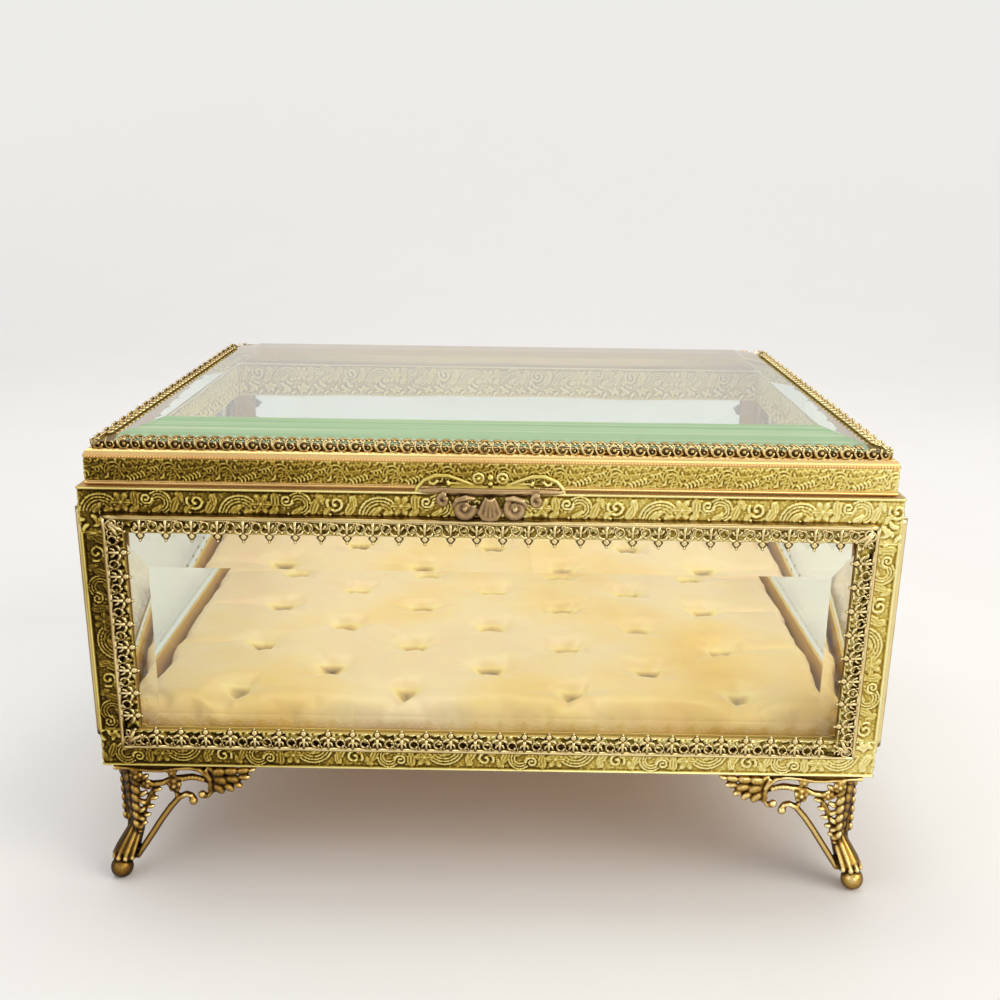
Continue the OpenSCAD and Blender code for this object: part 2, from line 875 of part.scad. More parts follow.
lid_rim(BACK);  // lid_rim_back
lid_rim(LEFT);  // lid_rim_left
lid_ledge(FRONT);  // lid_ledge_front
lid_ledge(RIGHT);  // lid_ledge_right
lid_ledge(BACK);  // lid_ledge_back
lid_ledge(LEFT);  // lid_ledge_left
lid_pane();
lid_gallery(FRONT);  // lid_gallery_front
lid_gallery(RIGHT);  // lid_gallery_right
lid_gallery(BACK);  // lid_gallery_back
lid_gallery(LEFT);  // lid_gallery_left
thumb_lift();
hinge_lid_leaf(-hinge_x);  // hinge_left_lid_leaf
hinge_lid_leaf(hinge_x);  // hinge_right_lid_leaf
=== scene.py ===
# %% [markdown]
# # A glass casket box
#
# The object is a footed box for papers and keepsakes: bevelled glass in a frame of folded,
# stamped brass, pierced gallery strips round each pane, a tufted satin pad, and a glass lid on
# two hinges. The CAD model is loaded first and never moved. Everything below either gives a CAD
# piece a better surface or stands in its place with more form, in metres, in the same frame.

# %% Load the CAD model as the frame
import math
import random

import bmesh
import bpy
import numpy as np
from mathutils import Matrix, Vector


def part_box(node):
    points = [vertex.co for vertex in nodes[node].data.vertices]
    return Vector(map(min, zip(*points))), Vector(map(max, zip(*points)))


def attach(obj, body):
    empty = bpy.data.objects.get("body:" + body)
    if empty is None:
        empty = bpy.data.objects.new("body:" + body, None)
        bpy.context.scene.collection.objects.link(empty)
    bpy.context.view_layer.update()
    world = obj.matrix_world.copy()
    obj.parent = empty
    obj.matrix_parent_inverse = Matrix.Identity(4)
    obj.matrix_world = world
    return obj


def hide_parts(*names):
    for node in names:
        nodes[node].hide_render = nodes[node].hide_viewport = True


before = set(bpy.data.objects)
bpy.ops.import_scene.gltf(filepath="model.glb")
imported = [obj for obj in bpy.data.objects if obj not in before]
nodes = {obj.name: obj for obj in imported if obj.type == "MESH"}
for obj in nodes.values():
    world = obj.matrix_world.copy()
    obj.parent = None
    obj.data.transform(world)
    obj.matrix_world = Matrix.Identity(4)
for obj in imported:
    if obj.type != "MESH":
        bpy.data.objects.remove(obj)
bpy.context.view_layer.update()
scene = bpy.context.scene
MM = 0.001
print("pieces in the frame:", len(nodes))

# %% [markdown]
# ## Sizes
#
# These are the sizes of the real object in millimetres, as the CAD source has them. A wall is
# drawn once, face on: x runs along it, y is the depth behind its face, and z is up. A turn of a
# quarter then puts the drawing on the front, right, back or left wall.

# %% Sizes and the four walls
BODY_W, BODY_D, BODY_H, FOOT_H = 200.0, 152.0, 75.3, 34.5
BODY_TOP = FOOT_H + BODY_H
FRAME_T = 5.26  # from the outer face of a rail to the inner face of its fold
POST_W, TOP_RAIL_H, BOTTOM_RAIL_H = 10.2, 11.5, 10.0
GALLERY_IN, GALLERY_OUT = 5.0, 2.0
LID_GAP, LID_INSET = 0.25, 1.6
LID_Z = BODY_TOP + LID_GAP
WALLS = ("front", "right", "back", "left")
CORNERS = ("front_left", "front_right", "back_right", "back_left")
MITRE_GAP = 0.03  # a strip's mitred end stands this far from its neighbour's


def span(side):
    """The length of a wall."""
    return BODY_D if side % 2 else BODY_W


def reach(side):
    """How far a wall's face is from the middle of the box."""
    return (BODY_W if side % 2 else BODY_D) / 2


def on_wall(side):
    """Takes millimetres on the front wall to metres on the wall with that number."""
    turn = Matrix.Rotation(math.radians(90 * side), 4, "Z")
    return Matrix.Scale(MM, 4) @ turn @ Matrix.Translation((0, -reach(side), 0))


print("body", BODY_W, "x", BODY_D, "x", BODY_H, "mm on feet of", FOOT_H, "mm")

# %% [markdown]
# ## Camera
#
# The camera stands where the photograph was taken from. Its place came from matching the
# corners of the box in the picture with the corners of the model.

# %% Camera
FOCAL_PX, SENSOR_MM, IMAGE_PX = 1135.48, 36.0, 1000
CAMERA_AT = (3.97, -338.74, BODY_TOP + 77.48)
YAW, PITCH_DOWN, ROLL = -0.35, 16.783, 0.745
yaw, pitch, roll = (math.radians(a) for a in (YAW, PITCH_DOWN, ROLL))
ahead = Vector((math.sin(yaw) * math.cos(pitch), math.cos(yaw) * math.cos(pitch), -math.sin(pitch)))
level = Vector((math.cos(yaw), -math.sin(yaw), 0))
upward = level.cross(ahead)
right = level * math.cos(roll) + upward * math.sin(roll)
above = upward * math.cos(roll) - level * math.sin(roll)

lens = bpy.data.cameras.new("camera")
lens.sensor_width = SENSOR_MM
lens.lens = FOCAL_PX / IMAGE_PX * SENSOR_MM
lens.clip_start = 0.01
camera = bpy.data.objects.new("camera", lens)
axes = Matrix((right, above, -ahead)).transposed().to_4x4()
camera.matrix_world = Matrix.Translation(Vector(CAMERA_AT) * MM) @ axes
scene.collection.objects.link(camera)
scene.camera = camera
scene.view_settings.view_transform = "Standard"
print("lens", round(lens.lens, 2), "mm")

# %% [markdown]
# ## Small helpers for materials
#
# Colours are written as sRGB hex values, as a picture editor shows them, and turned to linear
# light in one place. One function adds any node, with its settings and its links.


# %% Colour and node helpers
def linear(hex_colour):
    """An sRGB hex colour as linear red, green, blue and a full alpha."""
    values = [int(hex_colour[i:i + 2], 16) / 255 for i in (1, 3, 5)]
    return [v / 12.92 if v <= 0.04045 else ((v + 0.055) / 1.055) ** 2.4 for v in values] + [1.0]


def add(tree, kind, inputs=(), **settings):
    """Adds a node. A setting is an attribute; an input is a number, a colour or a socket."""
    made = tree.nodes.new(kind)
    for name, value in settings.items():
        setattr(made, name, value)
    for name, value in dict(inputs).items():
        if isinstance(value, bpy.types.NodeSocket):
            tree.links.new(value, made.inputs[name])
        else:
            made.inputs[name].default_value = value
    return made


def ramp(tree, factor, stops):
    """A colour ramp from (position, hex colour) pairs."""
    made = add(tree, "ShaderNodeValToRGB", {"Fac": factor})
    band = made.color_ramp.elements
    while len(band) < len(stops):
        band.new(0.5)
    for element, (place, colour) in zip(band, stops):
        element.position = place
        element.color = linear(colour)
    return made.outputs["Color"]


def new_material(name):
    """A material with an empty tree."""
    material = bpy.data.materials.new(name)
    material.use_nodes = True
    material.node_tree.nodes.clear()
    return material, material.node_tree


def finish_material(tree, shader):
    """Ends the tree with its output."""
    add(tree, "ShaderNodeOutputMaterial", {"Surface": shader.outputs[0]})


print("helpers ready")

# %% [markdown]
# ## Brass
#
# The frame is gilt brass that has aged: bright and yellow where hands and cloths have rubbed
# it, olive to brown in the hollows of the stamping. Each detailed piece carries an attribute
# called hollow, from 0 on a ridge to 1 in a hollow, worked out from its own shape, and the
# colour follows it. The ends of that colour are painted light: a painted highlight on the
# ridges and painted shade in the deepest hollows. The colour is also painted darker towards
# the left end of the box, as painted shade, and darker where a face turns from the eye, as a
# painted reflection. A fine grain in the metal comes from noise at 0.3 mm, a cloudy tarnish
# from noise at 25 mm.

# %% Brass materials
CLOUD_MM, GRAIN_MM = 25, 0.3
CLOUD_GAIN, CLOUD_CENTRE = 0.35, -0.17
DULLED = 0.4  # how much rougher brass is in its hollows
# Painted reflection: a face's rim is painted darker once it has turned this far from the eye
RIM_SHADE_STARTS = 0.25  # how far a face has turned away before its rim counts as dark
SHEET_GAIN, SHEET_BASE = 0.4, 0.25  # plain sheet has no hollows, so its grain takes their place


def brass(name, stops, rough, side_shade, grain_depth, hollow=True, metallic=1.0, rim=0.0):
    """Aged brass, whose colours go from its ridges to its hollows, with painted highlights and painted shade
    mixed in.
    """
    material, tree = new_material(name)
    where = add(tree, "ShaderNodeTexCoord").outputs["Object"]
    cloud = add(tree, "ShaderNodeTexNoise", {"Vector": where, "Scale": 1 / (CLOUD_MM * MM), "Detail": 4.0})
    grain = add(tree, "ShaderNodeTexNoise", {"Vector": where, "Scale": 1 / (GRAIN_MM * MM), "Detail": 2.0})
    side = add(tree, "ShaderNodeSeparateXYZ", {"Vector": where})
    # Painted shade: the colour is painted darker towards the left end of the box and lighter towards the
    # right, as if light fell more strongly from the right
    shade_along_x = add(tree, "ShaderNodeMapRange", {
        "Value": side.outputs["X"], "From Min": -BODY_W / 2 * MM, "From Max": BODY_W / 2 * MM,
        "To Min": side_shade, "To Max": -side_shade})
    clouded = add(tree, "ShaderNodeMath", {
        0: cloud.outputs["Fac"], 1: CLOUD_GAIN, 2: CLOUD_CENTRE}, operation="MULTIPLY_ADD")
    tarnish_and_side_shade = add(tree, "ShaderNodeMath", {0: clouded.outputs[0], 1: shade_along_x.outputs["Result"]},
               operation="ADD")
    if hollow:
        low = add(tree, "ShaderNodeAttribute", attribute_name="hollow").outputs["Fac"]
    else:
        low = add(tree, "ShaderNodeMath", {0: grain.outputs["Fac"], 1: SHEET_GAIN, 2: SHEET_BASE},
                  operation="MULTIPLY_ADD").outputs[0]
    # Painted reflection: where a face turns away from the eye, its colour is painted darker, in place of the
    # darker parts of a room that brass would mirror
    facing_shade = add(tree, "ShaderNodeLayerWeight", {"Blend": 0.5}).outputs["Facing"]
    edge = add(tree, "ShaderNodeMath", {0: facing_shade, 1: rim, 2: -RIM_SHADE_STARTS * rim},
               operation="MULTIPLY_ADD")
    low = add(tree, "ShaderNodeMath", {0: low, 1: edge.outputs[0]}, operation="ADD").outputs[0]
    factor = add(tree, "ShaderNodeMath", {0: low, 1: tarnish_and_side_shade.outputs[0]}, operation="ADD", use_clamp=True)
    # Painted light: on pieces with hollows, the ramp runs from a painted highlight on ridges to painted
    # shade in hollows, over the real wear and patina
    colour = ramp(tree, factor.outputs[0], stops)
    dull = add(tree, "ShaderNodeMapRange", {
        "Value": factor.outputs[0], "To Min": rough, "To Max": min(1.0, rough + DULLED)})
    bump = add(tree, "ShaderNodeBump", {
        "Height": grain.outputs["Fac"], "Strength": 0.5, "Distance": grain_depth * MM})
    shader = add(tree, "ShaderNodeBsdfPrincipled", {
        "Base Color": colour, "Metallic": metallic, "Roughness": dull.outputs["Result"],
        "Normal": bump.outputs["Normal"]})
    finish_material(tree, shader)
    return material


print("brass: clouds of", CLOUD_MM, "mm, grain of", GRAIN_MM, "mm")

# %% Brass finishes
# Thin brass pressed between dies and gilded: bright ridges on an olive ground. The ridges are partly worn
# and partly a painted highlight, and the deepest hollows are painted shade
stamped = brass("stamped_gilt_brass", (
    (0.0, "#f7edac"), (0.28, "#d8c56c"), (0.5, "#a98d3a"), (0.72, "#65501c"), (1.0, "#2e210b")),
    rough=0.22, side_shade=0.25, grain_depth=0.05, rim=0.25)
# Cast brass, chased and gilded: browner, smooth on its high points, with a painted highlight there and
# painted shade, near black, in its hollows
cast = brass("cast_gilt_brass", (
    (0.0, "#f7e6a6"), (0.22, "#c09c50"), (0.42, "#86642c"), (0.62, "#4a3415"), (1.0, "#160e05")),
    rough=0.16, side_shade=0.12, grain_depth=0.03, rim=0.5)
# Pierced strip: bronze brown. Its peaks are worn bright and carry a painted highlight, and its openings are
# painted shade, nearly black
pierced = brass("pierced_gilt_brass", (
    (0.0, "#e4cf96"), (0.18, "#a3864e"), (0.38, "#6c5229"), (0.6, "#372614"), (1.0, "#120c06")),
    rough=0.2, side_shade=0.08, grain_depth=0.03, rim=0.5)
# The lid's rolled rim has worn to a coppery yellow
rolled = brass("rolled_coppery_brass", (
    (0.0, "#eecb8a"), (0.3, "#c4975a"), (0.55, "#986d36"), (1.0, "#4a2f14")),
    rough=0.24, side_shade=0.1, grain_depth=0.03)
# The thumb lift's lobes have worn to brown, where fingers took the gilding off
browned = brass("browned_cast_brass", (
    (0.0, "#e6d4a4"), (0.26, "#a98c62"), (0.5, "#775e45"), (1.0, "#221812")),
    rough=0.22, side_shade=0.05, grain_depth=0.03, rim=0.45)
# Rolled sheet without a pattern: even, dull, a little coppery
plain = brass("rolled_brass_sheet", (
    (0.0, "#e0bf80"), (0.5, "#bd9252"), (1.0, "#85602f")),
    rough=0.34, side_shade=0.05, grain_depth=0.02, hollow=False, metallic=0.7)
# Inside the box the gilding never wore. On the skirt beside the pad it is matt and warm, and
# shows its own colour from every side, so it is shaded without a metal's mirror
skirt = brass("gilt_skirt_brass", (
    (0.0, "#ecc57c"), (0.5, "#d8a955"), (1.0, "#b0843c")),
    rough=0.5, side_shade=0.04, grain_depth=0.02, hollow=False, metallic=0.0)
# The stamping on the rail's inner face keeps a pale clean gold
kept_gilt = brass("stamped_inner_brass", (
    (0.0, "#fff4cc"), (0.28, "#f8e7a8"), (0.5, "#e2c97c"), (0.72, "#a98c45"), (1.0, "#5d4722")),
    rough=0.35, side_shade=0.06, grain_depth=0.05, metallic=0.3)
# Hinges are rolled sheet too, but yellower
hinge_brass = brass("rolled_hinge_brass", (
    (0.0, "#d9c07c"), (0.5, "#ab8b48"), (1.0, "#6c5222")),
    rough=0.3, side_shade=0.1, grain_depth=0.02, hollow=False, metallic=0.9)
print("brass finishes:", len(bpy.data.materials))

# %% [markdown]
# ## Glass
#
# The panes are thick plate with a ground and polished bevel. Clear glass bends what is behind
# it, and the bevel bends it more, so the same shader serves both; the faint green comes from
# iron in the glass. A little waviness is left in old plate, over about 40 mm.

# %% The glass of the side panes
WAVE_MM, WAVE_DEPTH = 40, 0.5
PLATE_IOR = 1.5


def wavy_plate(tree, thin, thick):
    """The clear plate itself, whose tint wanders between two near whites."""
    where = add(tree, "ShaderNodeTexCoord").outputs["Object"]
    wave = add(tree, "ShaderNodeTexNoise", {"Vector": where, "Scale": 1 / (WAVE_MM * MM), "Detail": 1.0})
    bump = add(tree, "ShaderNodeBump", {
        "Height": wave.outputs["Fac"], "Strength": 0.15, "Distance": WAVE_DEPTH * MM})
    tint = ramp(tree, wave.outputs["Fac"], ((0.0, thin), (1.0, thick)))
    return add(tree, "ShaderNodeBsdfPrincipled", {
        "Base Color": tint, "Roughness": 0.0, "IOR": PLATE_IOR, "Transmission Weight": 1.0,
        "Normal": bump.outputs["Normal"]})


def let_lamps_in(tree, shader):
    """The lamps shine through a pane as through a window: their rays only take its tint."""
    rays = add(tree, "ShaderNodeLightPath")
    clear = add(tree, "ShaderNodeBsdfTransparent", {"Color": linear("#f1f7f3")})
    finish_material(tree, add(tree, "ShaderNodeMixShader", {
        "Fac": rays.outputs["Is Shadow Ray"], 1: shader.outputs[0], 2: clear.outputs[0]}))


glass, tree = new_material("bevelled_plate_glass")
let_lamps_in(tree, wavy_plate(tree, "#f4faf6", "#eef6f2"))
print("side panes:", glass.name)

# %% The lid's glass
# The lid's bevel looks along the plate, where light runs from face to face and turns green.
# Such a ray would need dozens of bounces, so it ends on the green that it would pick up, in
# streaks about 1.5 mm apart
STREAK_MM = 1.5
TRAPPED = 0.98  # a ray inside the glass that mirrors more than this can't get out
lid_glass, tree = new_material("bevelled_plate_glass_lid")
plate = wavy_plate(tree, "#f2f8f4", "#f2f8f4")
mirror = add(tree, "ShaderNodeFresnel", {"IOR": PLATE_IOR})
inside = add(tree, "ShaderNodeNewGeometry")
guided = add(tree, "ShaderNodeMath", {0: mirror.outputs[0], 1: inside.outputs["Backfacing"]},
             operation="MULTIPLY")
guided = add(tree, "ShaderNodeMath", {0: guided.outputs[0], 1: TRAPPED}, operation="GREATER_THAN")
where = add(tree, "ShaderNodeTexCoord").outputs["Object"]
drawn_out = add(tree, "ShaderNodeMapping", {"Vector": where, "Scale": (4.0, 1 / (STREAK_MM * MM), 1.0)})
streak = add(tree, "ShaderNodeTexNoise", {"Vector": drawn_out.outputs[0], "Scale": 1.0, "Detail": 2.0})
green = ramp(tree, streak.outputs["Fac"], ((0.35, "#98b690"), (0.5, "#abc29e"), (0.65, "#c2cdb0")))
guide = add(tree, "ShaderNodeBsdfDiffuse", {"Color": green})
let_lamps_in(tree, add(tree, "ShaderNodeMixShader", {
    "Fac": guided.outputs[0], 1: plate.outputs[0], 2: guide.outputs[0]}))
print("lid's pane:", lid_glass.name)

# %% [markdown]
# ## Satin and card
#
# The pad is covered in old satin, peach to cream, which has faded to a golden yellow in
# places. Satin is woven so that long threads lie on top: it has a soft sheen and fine ribs.
# Threads are 0.15 mm apart, which is too fine for the picture, so the rib is drawn 3 mm apart.

# %% Satin
FADE_MM, CREASE_MM, RIB_MM = 70, 6, 3.1416
WAVE_TURN = 20  # a wave texture turns 20 radians over a length of one
satin, tree = new_material("peach_satin")
where = add(tree, "ShaderNodeTexCoord").outputs["Object"]
fade = add(tree, "ShaderNodeTexNoise", {"Vector": where, "Scale": 1 / (FADE_MM * MM), "Detail": 3.0})
crease = add(tree, "ShaderNodeTexNoise", {"Vector": where, "Scale": 1 / (CREASE_MM * MM), "Detail": 5.0})
rib = add(tree, "ShaderNodeTexWave", {
    "Vector": where, "Scale": 2 * math.pi / (RIB_MM * MM) / WAVE_TURN, "Distortion": 1.5,
    "Detail": 2.0}, bands_direction="Y")
colour = ramp(tree, fade.outputs["Fac"], (
    (0.3, "#f2c69c"), (0.45, "#f5cf9e"), (0.54, "#f4c780"), (0.66, "#efb95a")))
# Painted light at the stitches: the dips are painted a yellower glow in place of the light that bounces
# within them, and a dark brown painted shadow where the fold at each stitch lies in shade
tuck = add(tree, "ShaderNodeAttribute", attribute_name="tuck").outputs["Fac"]
dip = ramp(tree, tuck, ((0.0, "#f5cf9e"), (0.3, "#fadd92"), (0.5, "#e2b872"), (0.9, "#5f451c")))
reach_of_dip = add(tree, "ShaderNodeMath", {0: tuck, 1: 2.5}, operation="MULTIPLY", use_clamp=True)
colour = add(tree, "ShaderNodeMixRGB", {
    "Fac": reach_of_dip.outputs[0], "Color1": colour, "Color2": dip}).outputs["Color"]
shade = add(tree, "ShaderNodeMixRGB", {
    "Fac": 0.12, "Color1": colour, "Color2": crease.outputs["Color"]}, blend_type="OVERLAY")
fold = add(tree, "ShaderNodeBump", {
    "Height": crease.outputs["Fac"], "Strength": 0.5, "Distance": 0.6 * MM})
bump = add(tree, "ShaderNodeBump", {
    "Height": rib.outputs["Fac"], "Strength": 0.15, "Distance": 0.1 * MM, "Normal": fold.outputs["Normal"]})
shader = add(tree, "ShaderNodeBsdfPrincipled", {
    "Base Color": shade.outputs["Color"], "Roughness": 0.42, "Sheen Weight": 0.4,
    "Sheen Roughness": 0.3, "Normal": bump.outputs["Normal"]})
finish_material(tree, shader)
print("satin:", satin.name, "with folds", CREASE_MM, "mm apart")

# %% Card
# Grey board made of waste paper: matt, with short fibres
FIBRE_MM = 1.2
card, tree = new_material("grey_card")
where = add(tree, "ShaderNodeTexCoord").outputs["Object"]
fibre = add(tree, "ShaderNodeTexNoise", {"Vector": where, "Scale": 1 / (FIBRE_MM * MM), "Detail": 4.0})
colour = ramp(tree, fibre.outputs["Fac"], ((0.3, "#8d7a5f"), (0.7, "#a8957a")))
shader = add(tree, "ShaderNodeBsdfPrincipled", {"Base Color": colour, "Roughness": 0.9})
finish_material(tree, shader)
print("card:", card.name)

# %% [markdown]
# ## Dressing the CAD pieces
#
# Pieces whose shape is right as drawn keep their CAD mesh and only take a material.


# %% Materials on CAD pieces
def wear(name, material):
    """Gives a CAD piece one material."""
    piece = nodes[name]
    piece.data.materials.clear()
    piece.data.materials.append(material)


for name in nodes:
    if name.startswith("pane_"):
        wear(name, glass)
    elif name == "lid_pane":
        wear(name, lid_glass)
    elif name == "pad_board":
        wear(name, card)
    elif name == "tufted_pad":
        wear(name, satin)
    elif name.startswith(("bottom_rail", "lid_ledge")):
        wear(name, skirt)
    elif "hinge" in name:
        wear(name, hinge_brass)
    elif "gallery" in name:
        wear(name, pierced)
    elif name.startswith("foot") or name == "thumb_lift":
        wear(name, cast)
    else:
        wear(name, plain)
print("dressed", len(nodes), "CAD pieces")

# %% [markdown]
# ## Helpers for shapes
#
# Everything detailed is drawn in millimetres on a flat plan, as a die maker would draw it, and
# one matrix puts the finished mesh in its place on the box. After that the mesh is measured:
# a point that lies lower than its neighbours is in a hollow, and the brass shaders read that.


# %% Put a piece in place, and find its hollows
def place(mesh_maker, name, matrix, material, slot, body, stands_for=()):
    """Makes an object from a bmesh in millimetres, sets it on its wall and lets it ride."""
    mesh = bpy.data.meshes.new(name)
    mesh_maker.to_mesh(mesh)
    mesh_maker.free()
    mesh.transform(matrix)
    if matrix.determinant() < 0:
        mesh.flip_normals()
    mesh.polygons.foreach_set("use_smooth", [True] * len(mesh.polygons))
    mesh.materials.append(material)
    piece = bpy.data.objects.new(name, mesh)
    scene.collection.objects.link(piece)
    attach(piece, body)
    if stands_for:
        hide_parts(*stands_for)
    return piece


def neighbour_mean(values, edges, count):
    """The mean of each point's neighbours along the edges."""
    total = np.zeros_like(values)
    np.add.at(total, edges[:, 0], values[edges[:, 1]])
    np.add.at(total, edges[:, 1], values[edges[:, 0]])
    return total / (count[:, None] if values.ndim > 1 else count)


def mark_hollows(piece, depth, rounds, middle, gain):
    """Writes the attribute hollow: 0 on ridges, 1 in hollows about depth mm deep."""
    mesh = piece.data
    points = np.empty(len(mesh.vertices) * 3)
    normals = np.empty(len(mesh.vertices) * 3)
    edges = np.empty(len(mesh.edges) * 2, dtype=int)
    mesh.vertices.foreach_get("co", points)
    mesh.vertices.foreach_get("normal", normals)
    mesh.edges.foreach_get("vertices", edges)
    points, normals, edges = points.reshape(-1, 3), normals.reshape(-1, 3), edges.reshape(-1, 2)
    count = np.maximum(np.bincount(edges.ravel(), minlength=len(points)), 1).astype(float)
    smooth = points.copy()
    for _ in range(rounds):
        smooth = 0.3 * smooth + 0.7 * neighbour_mean(smooth, edges, count)
    sunk = ((smooth - points) * normals).sum(axis=1) / (depth * MM)
    sunk = 0.5 * sunk + 0.5 * neighbour_mean(sunk, edges, count)
    hollow = mesh.attributes.new("hollow", "FLOAT", "POINT")
    hollow.data.foreach_set("value", np.clip(middle + gain * sunk, 0, 1).astype(np.float32))


print("shape helpers ready")

# %% [markdown]
# ## The stamping dies
#
# The rails were pressed between dies cut with scrolls, shells and leaves that repeat along the
# strip. A die is made here as a small height map in plain numbers: each motif is a row of
# round cutter marks whose width swells and thins, like the engraver's. A grid of faces is then
# pressed by the map. Real relief is used, since the scrolls are wide enough to catch the light
# one by one; only the matt ground between them is left to the bump in the shader.


# %% A blank that can be cut
class Blank:
    """A height map in millimetres, repeated every pitch along the strip."""
    CELL = 0.1

    def __init__(self, pitch, width):
        self.pitch, self.width = pitch, width
        self.s, self.t = np.meshgrid(
            np.arange(0, pitch, self.CELL), np.arange(0, width + self.CELL, self.CELL), indexing="ij")
        self.height = np.zeros_like(self.s)

    def away(self, x, y):
        """The squared distance of each cell from a place, round the repeat."""
        along = (self.s - x + self.pitch / 2) % self.pitch - self.pitch / 2
        return along ** 2 + (self.t - y) ** 2

    def press(self, points, widths, high, flat=1.6, sunk=0.0):
        """One stroke of the cutter; sunk lowers its middle, so that only its outline stands."""
        r = np.full_like(self.height, np.inf)
        for (x, y), wide in zip(points, widths):
            r = np.minimum(r, np.sqrt(self.away(x, y)) / wide)
        dome = np.clip((1 - r ** 2) * flat, 0, 1)
        if sunk:
            dome = dome - sunk * np.clip((1 - (r / 0.72) ** 2) * 2.5, 0, 1)
            self.height = np.where(r < 0.97, dome * high, self.height)
        else:
            self.height = np.maximum(self.height, dome * high)

    def groove(self, points, wide, deep):
        """A narrow cut that lowers what stands there."""
        mark = np.zeros_like(self.height)
        for x, y in points:
            mark = np.maximum(mark, np.clip(1 - self.away(x, y) / wide ** 2, 0, 1))
        self.height -= deep * mark

    def at(self, s, t):
        """The height at any place, from the four cells round it."""
        h = self.height
        i = (s % self.pitch) / self.CELL
        j = np.clip(t, 0, self.width) / self.CELL
        i0, j0 = np.floor(i).astype(int), np.minimum(np.floor(j).astype(int), h.shape[1] - 2)
        u, v = i - i0, j - j0
        i0 = i0 % len(h)
        i1 = (i0 + 1) % len(h)
        return ((1 - u) * ((1 - v) * h[i0, j0] + v * h[i0, j0 + 1])
                + u * ((1 - v) * h[i1, j0] + v * h[i1, j0 + 1]))


print("cutter marks lie on a grid of", Blank.CELL, "mm")


# %% The motifs that are cut
class Die(Blank):
    """A blank with the engraver's motifs."""

    def scroll(self, x, y, radius, start, turn, fat):
        """A spiral that thins as it winds in, with a bead at its eye."""
        steps = 36
        points, widths = [], []
        for i in range(steps + 1):
            u = i / steps
            angle = math.radians(start + turn * u)
            r = radius * (1 - 0.78 * u)
            points.append((x + r * math.cos(angle), y + r * math.sin(angle)))
            widths.append(fat * (1 - 0.45 * u))
        self.press(points, widths, 1.0)
        self.groove(points[:-8], fat * 0.45, 0.5)
        self.press([points[-1]], [fat * 1.15], 1.0)
        # A fine tendril follows the scroll outside
        outer = [(x + radius * 1.3 * math.cos(a), y + radius * 1.3 * math.sin(a))
                 for a in np.linspace(math.radians(start), math.radians(start + turn * 0.45), 20)]
        self.press(outer, [0.17] * 20, 0.7)

    def leaf(self, x, y, heading, length, fat, bend=0.0, high=0.9):
        """A leaf that swells, bends and comes to a point, with a line down its middle."""
        steps = 20
        points, widths = [], []
        px, py, angle = x, y, math.radians(heading)
        for i in range(steps + 1):
            u = i / steps
            points.append((px, py))
            widths.append(0.18 + fat * math.sin(math.pi * u ** 0.7) ** 0.8)
            px += length / steps * math.cos(angle)
            py += length / steps * math.sin(angle)
            angle += math.radians(bend) / steps
        self.press(points, widths, high, 1.6, 0.6 if fat > 0.5 else 0.0)
        if fat > 0.5:
            self.press(points[1:-4], [0.2] * len(points[1:-4]), high * 0.8)

    def arcs(self, x, y, radii, start, end, fat=0.26, high=0.95):
        """Fine lines that run side by side round a middle, like the edge of a shell."""
        for n, radius in enumerate(radii):
            turn = np.radians(np.linspace(start, end, 26))
            self.press([(x + radius * math.cos(a), y + radius * math.sin(a)) for a in turn],
                       [fat * (1 - 0.12 * n)] * 26, high - 0.12 * n)

    def ring(self, x, y, radius):
        """A round boss with a groove inside its edge."""
        self.press([(x, y)], [radius * 1.15], 0.95, 3)
        self.groove([(x + radius * 0.7 * math.cos(a), y + radius * 0.7 * math.sin(a))
                     for a in np.linspace(0, 6.28, 24)], 0.22, 0.5)


print("motifs ready: scroll, leaf, arcs and ring")

# %% The die of the body's rails
# Scrolls stand in the outer 5 mm, which stays in sight; behind the gallery strips the same
# strip carries a plainer row of leaves
RAIL_REPEAT = 34
rail_die = Die(float(RAIL_REPEAT), TOP_RAIL_H)
rail_die.scroll(3.6, 3.3, 2.2, 200, -440, 0.4)
rail_die.leaf(6.2, 5.9, -48, 4.4, 1.0, -40)
rail_die.leaf(7.4, 1.5, 62, 3.2, 0.8, 40)
rail_die.leaf(1.0, 6.2, -75, 2.6, 0.6, 50)
rail_die.arcs(14.2, 6.6, (5.0, 4.2, 3.4, 2.6), 190, 335)
rail_die.leaf(12.6, 6.2, -70, 2.8, 0.7, 60)
rail_die.leaf(15.4, 6.0, -40, 2.4, 0.6, 60)
FLOWER_X, FLOWER_Y = 19.4, 3.6
for petal in range(6):
    turn = petal * 1.05
    rail_die.leaf(FLOWER_X + 0.8 * math.cos(turn), FLOWER_Y + 0.8 * math.sin(turn), petal * 60, 1.8, 0.62)
rail_die.ring(FLOWER_X, FLOWER_Y, 0.75)
rail_die.leaf(22.6, 1.1, 75, 4.0, 1.0, 30)
rail_die.leaf(21.6, 5.9, -20, 2.6, 0.7, -50)
rail_die.scroll(25.6, 2.6, 1.5, 0, 480, 0.36)
rail_die.arcs(28.6, 3.6, (2.9, 2.2, 1.5), -130, 80)
rail_die.leaf(27.0, 6.0, -10, 3.0, 0.7, -60)
rail_die.leaf(31.8, 5.9, -80, 4.4, 0.95, 30)
rail_die.leaf(33.0, 1.2, 30, 2.6, 0.7, 60)
for x in range(0, RAIL_REPEAT, 2):
    rail_die.leaf(x, 7.2 + (x % 4) * 0.5, 20 + 37 * (x % 6), 2.6, 0.5, 90)
    rail_die.leaf(x + 1.0, 9.6, -30 - 41 * (x % 6), 2.2, 0.45, -80)
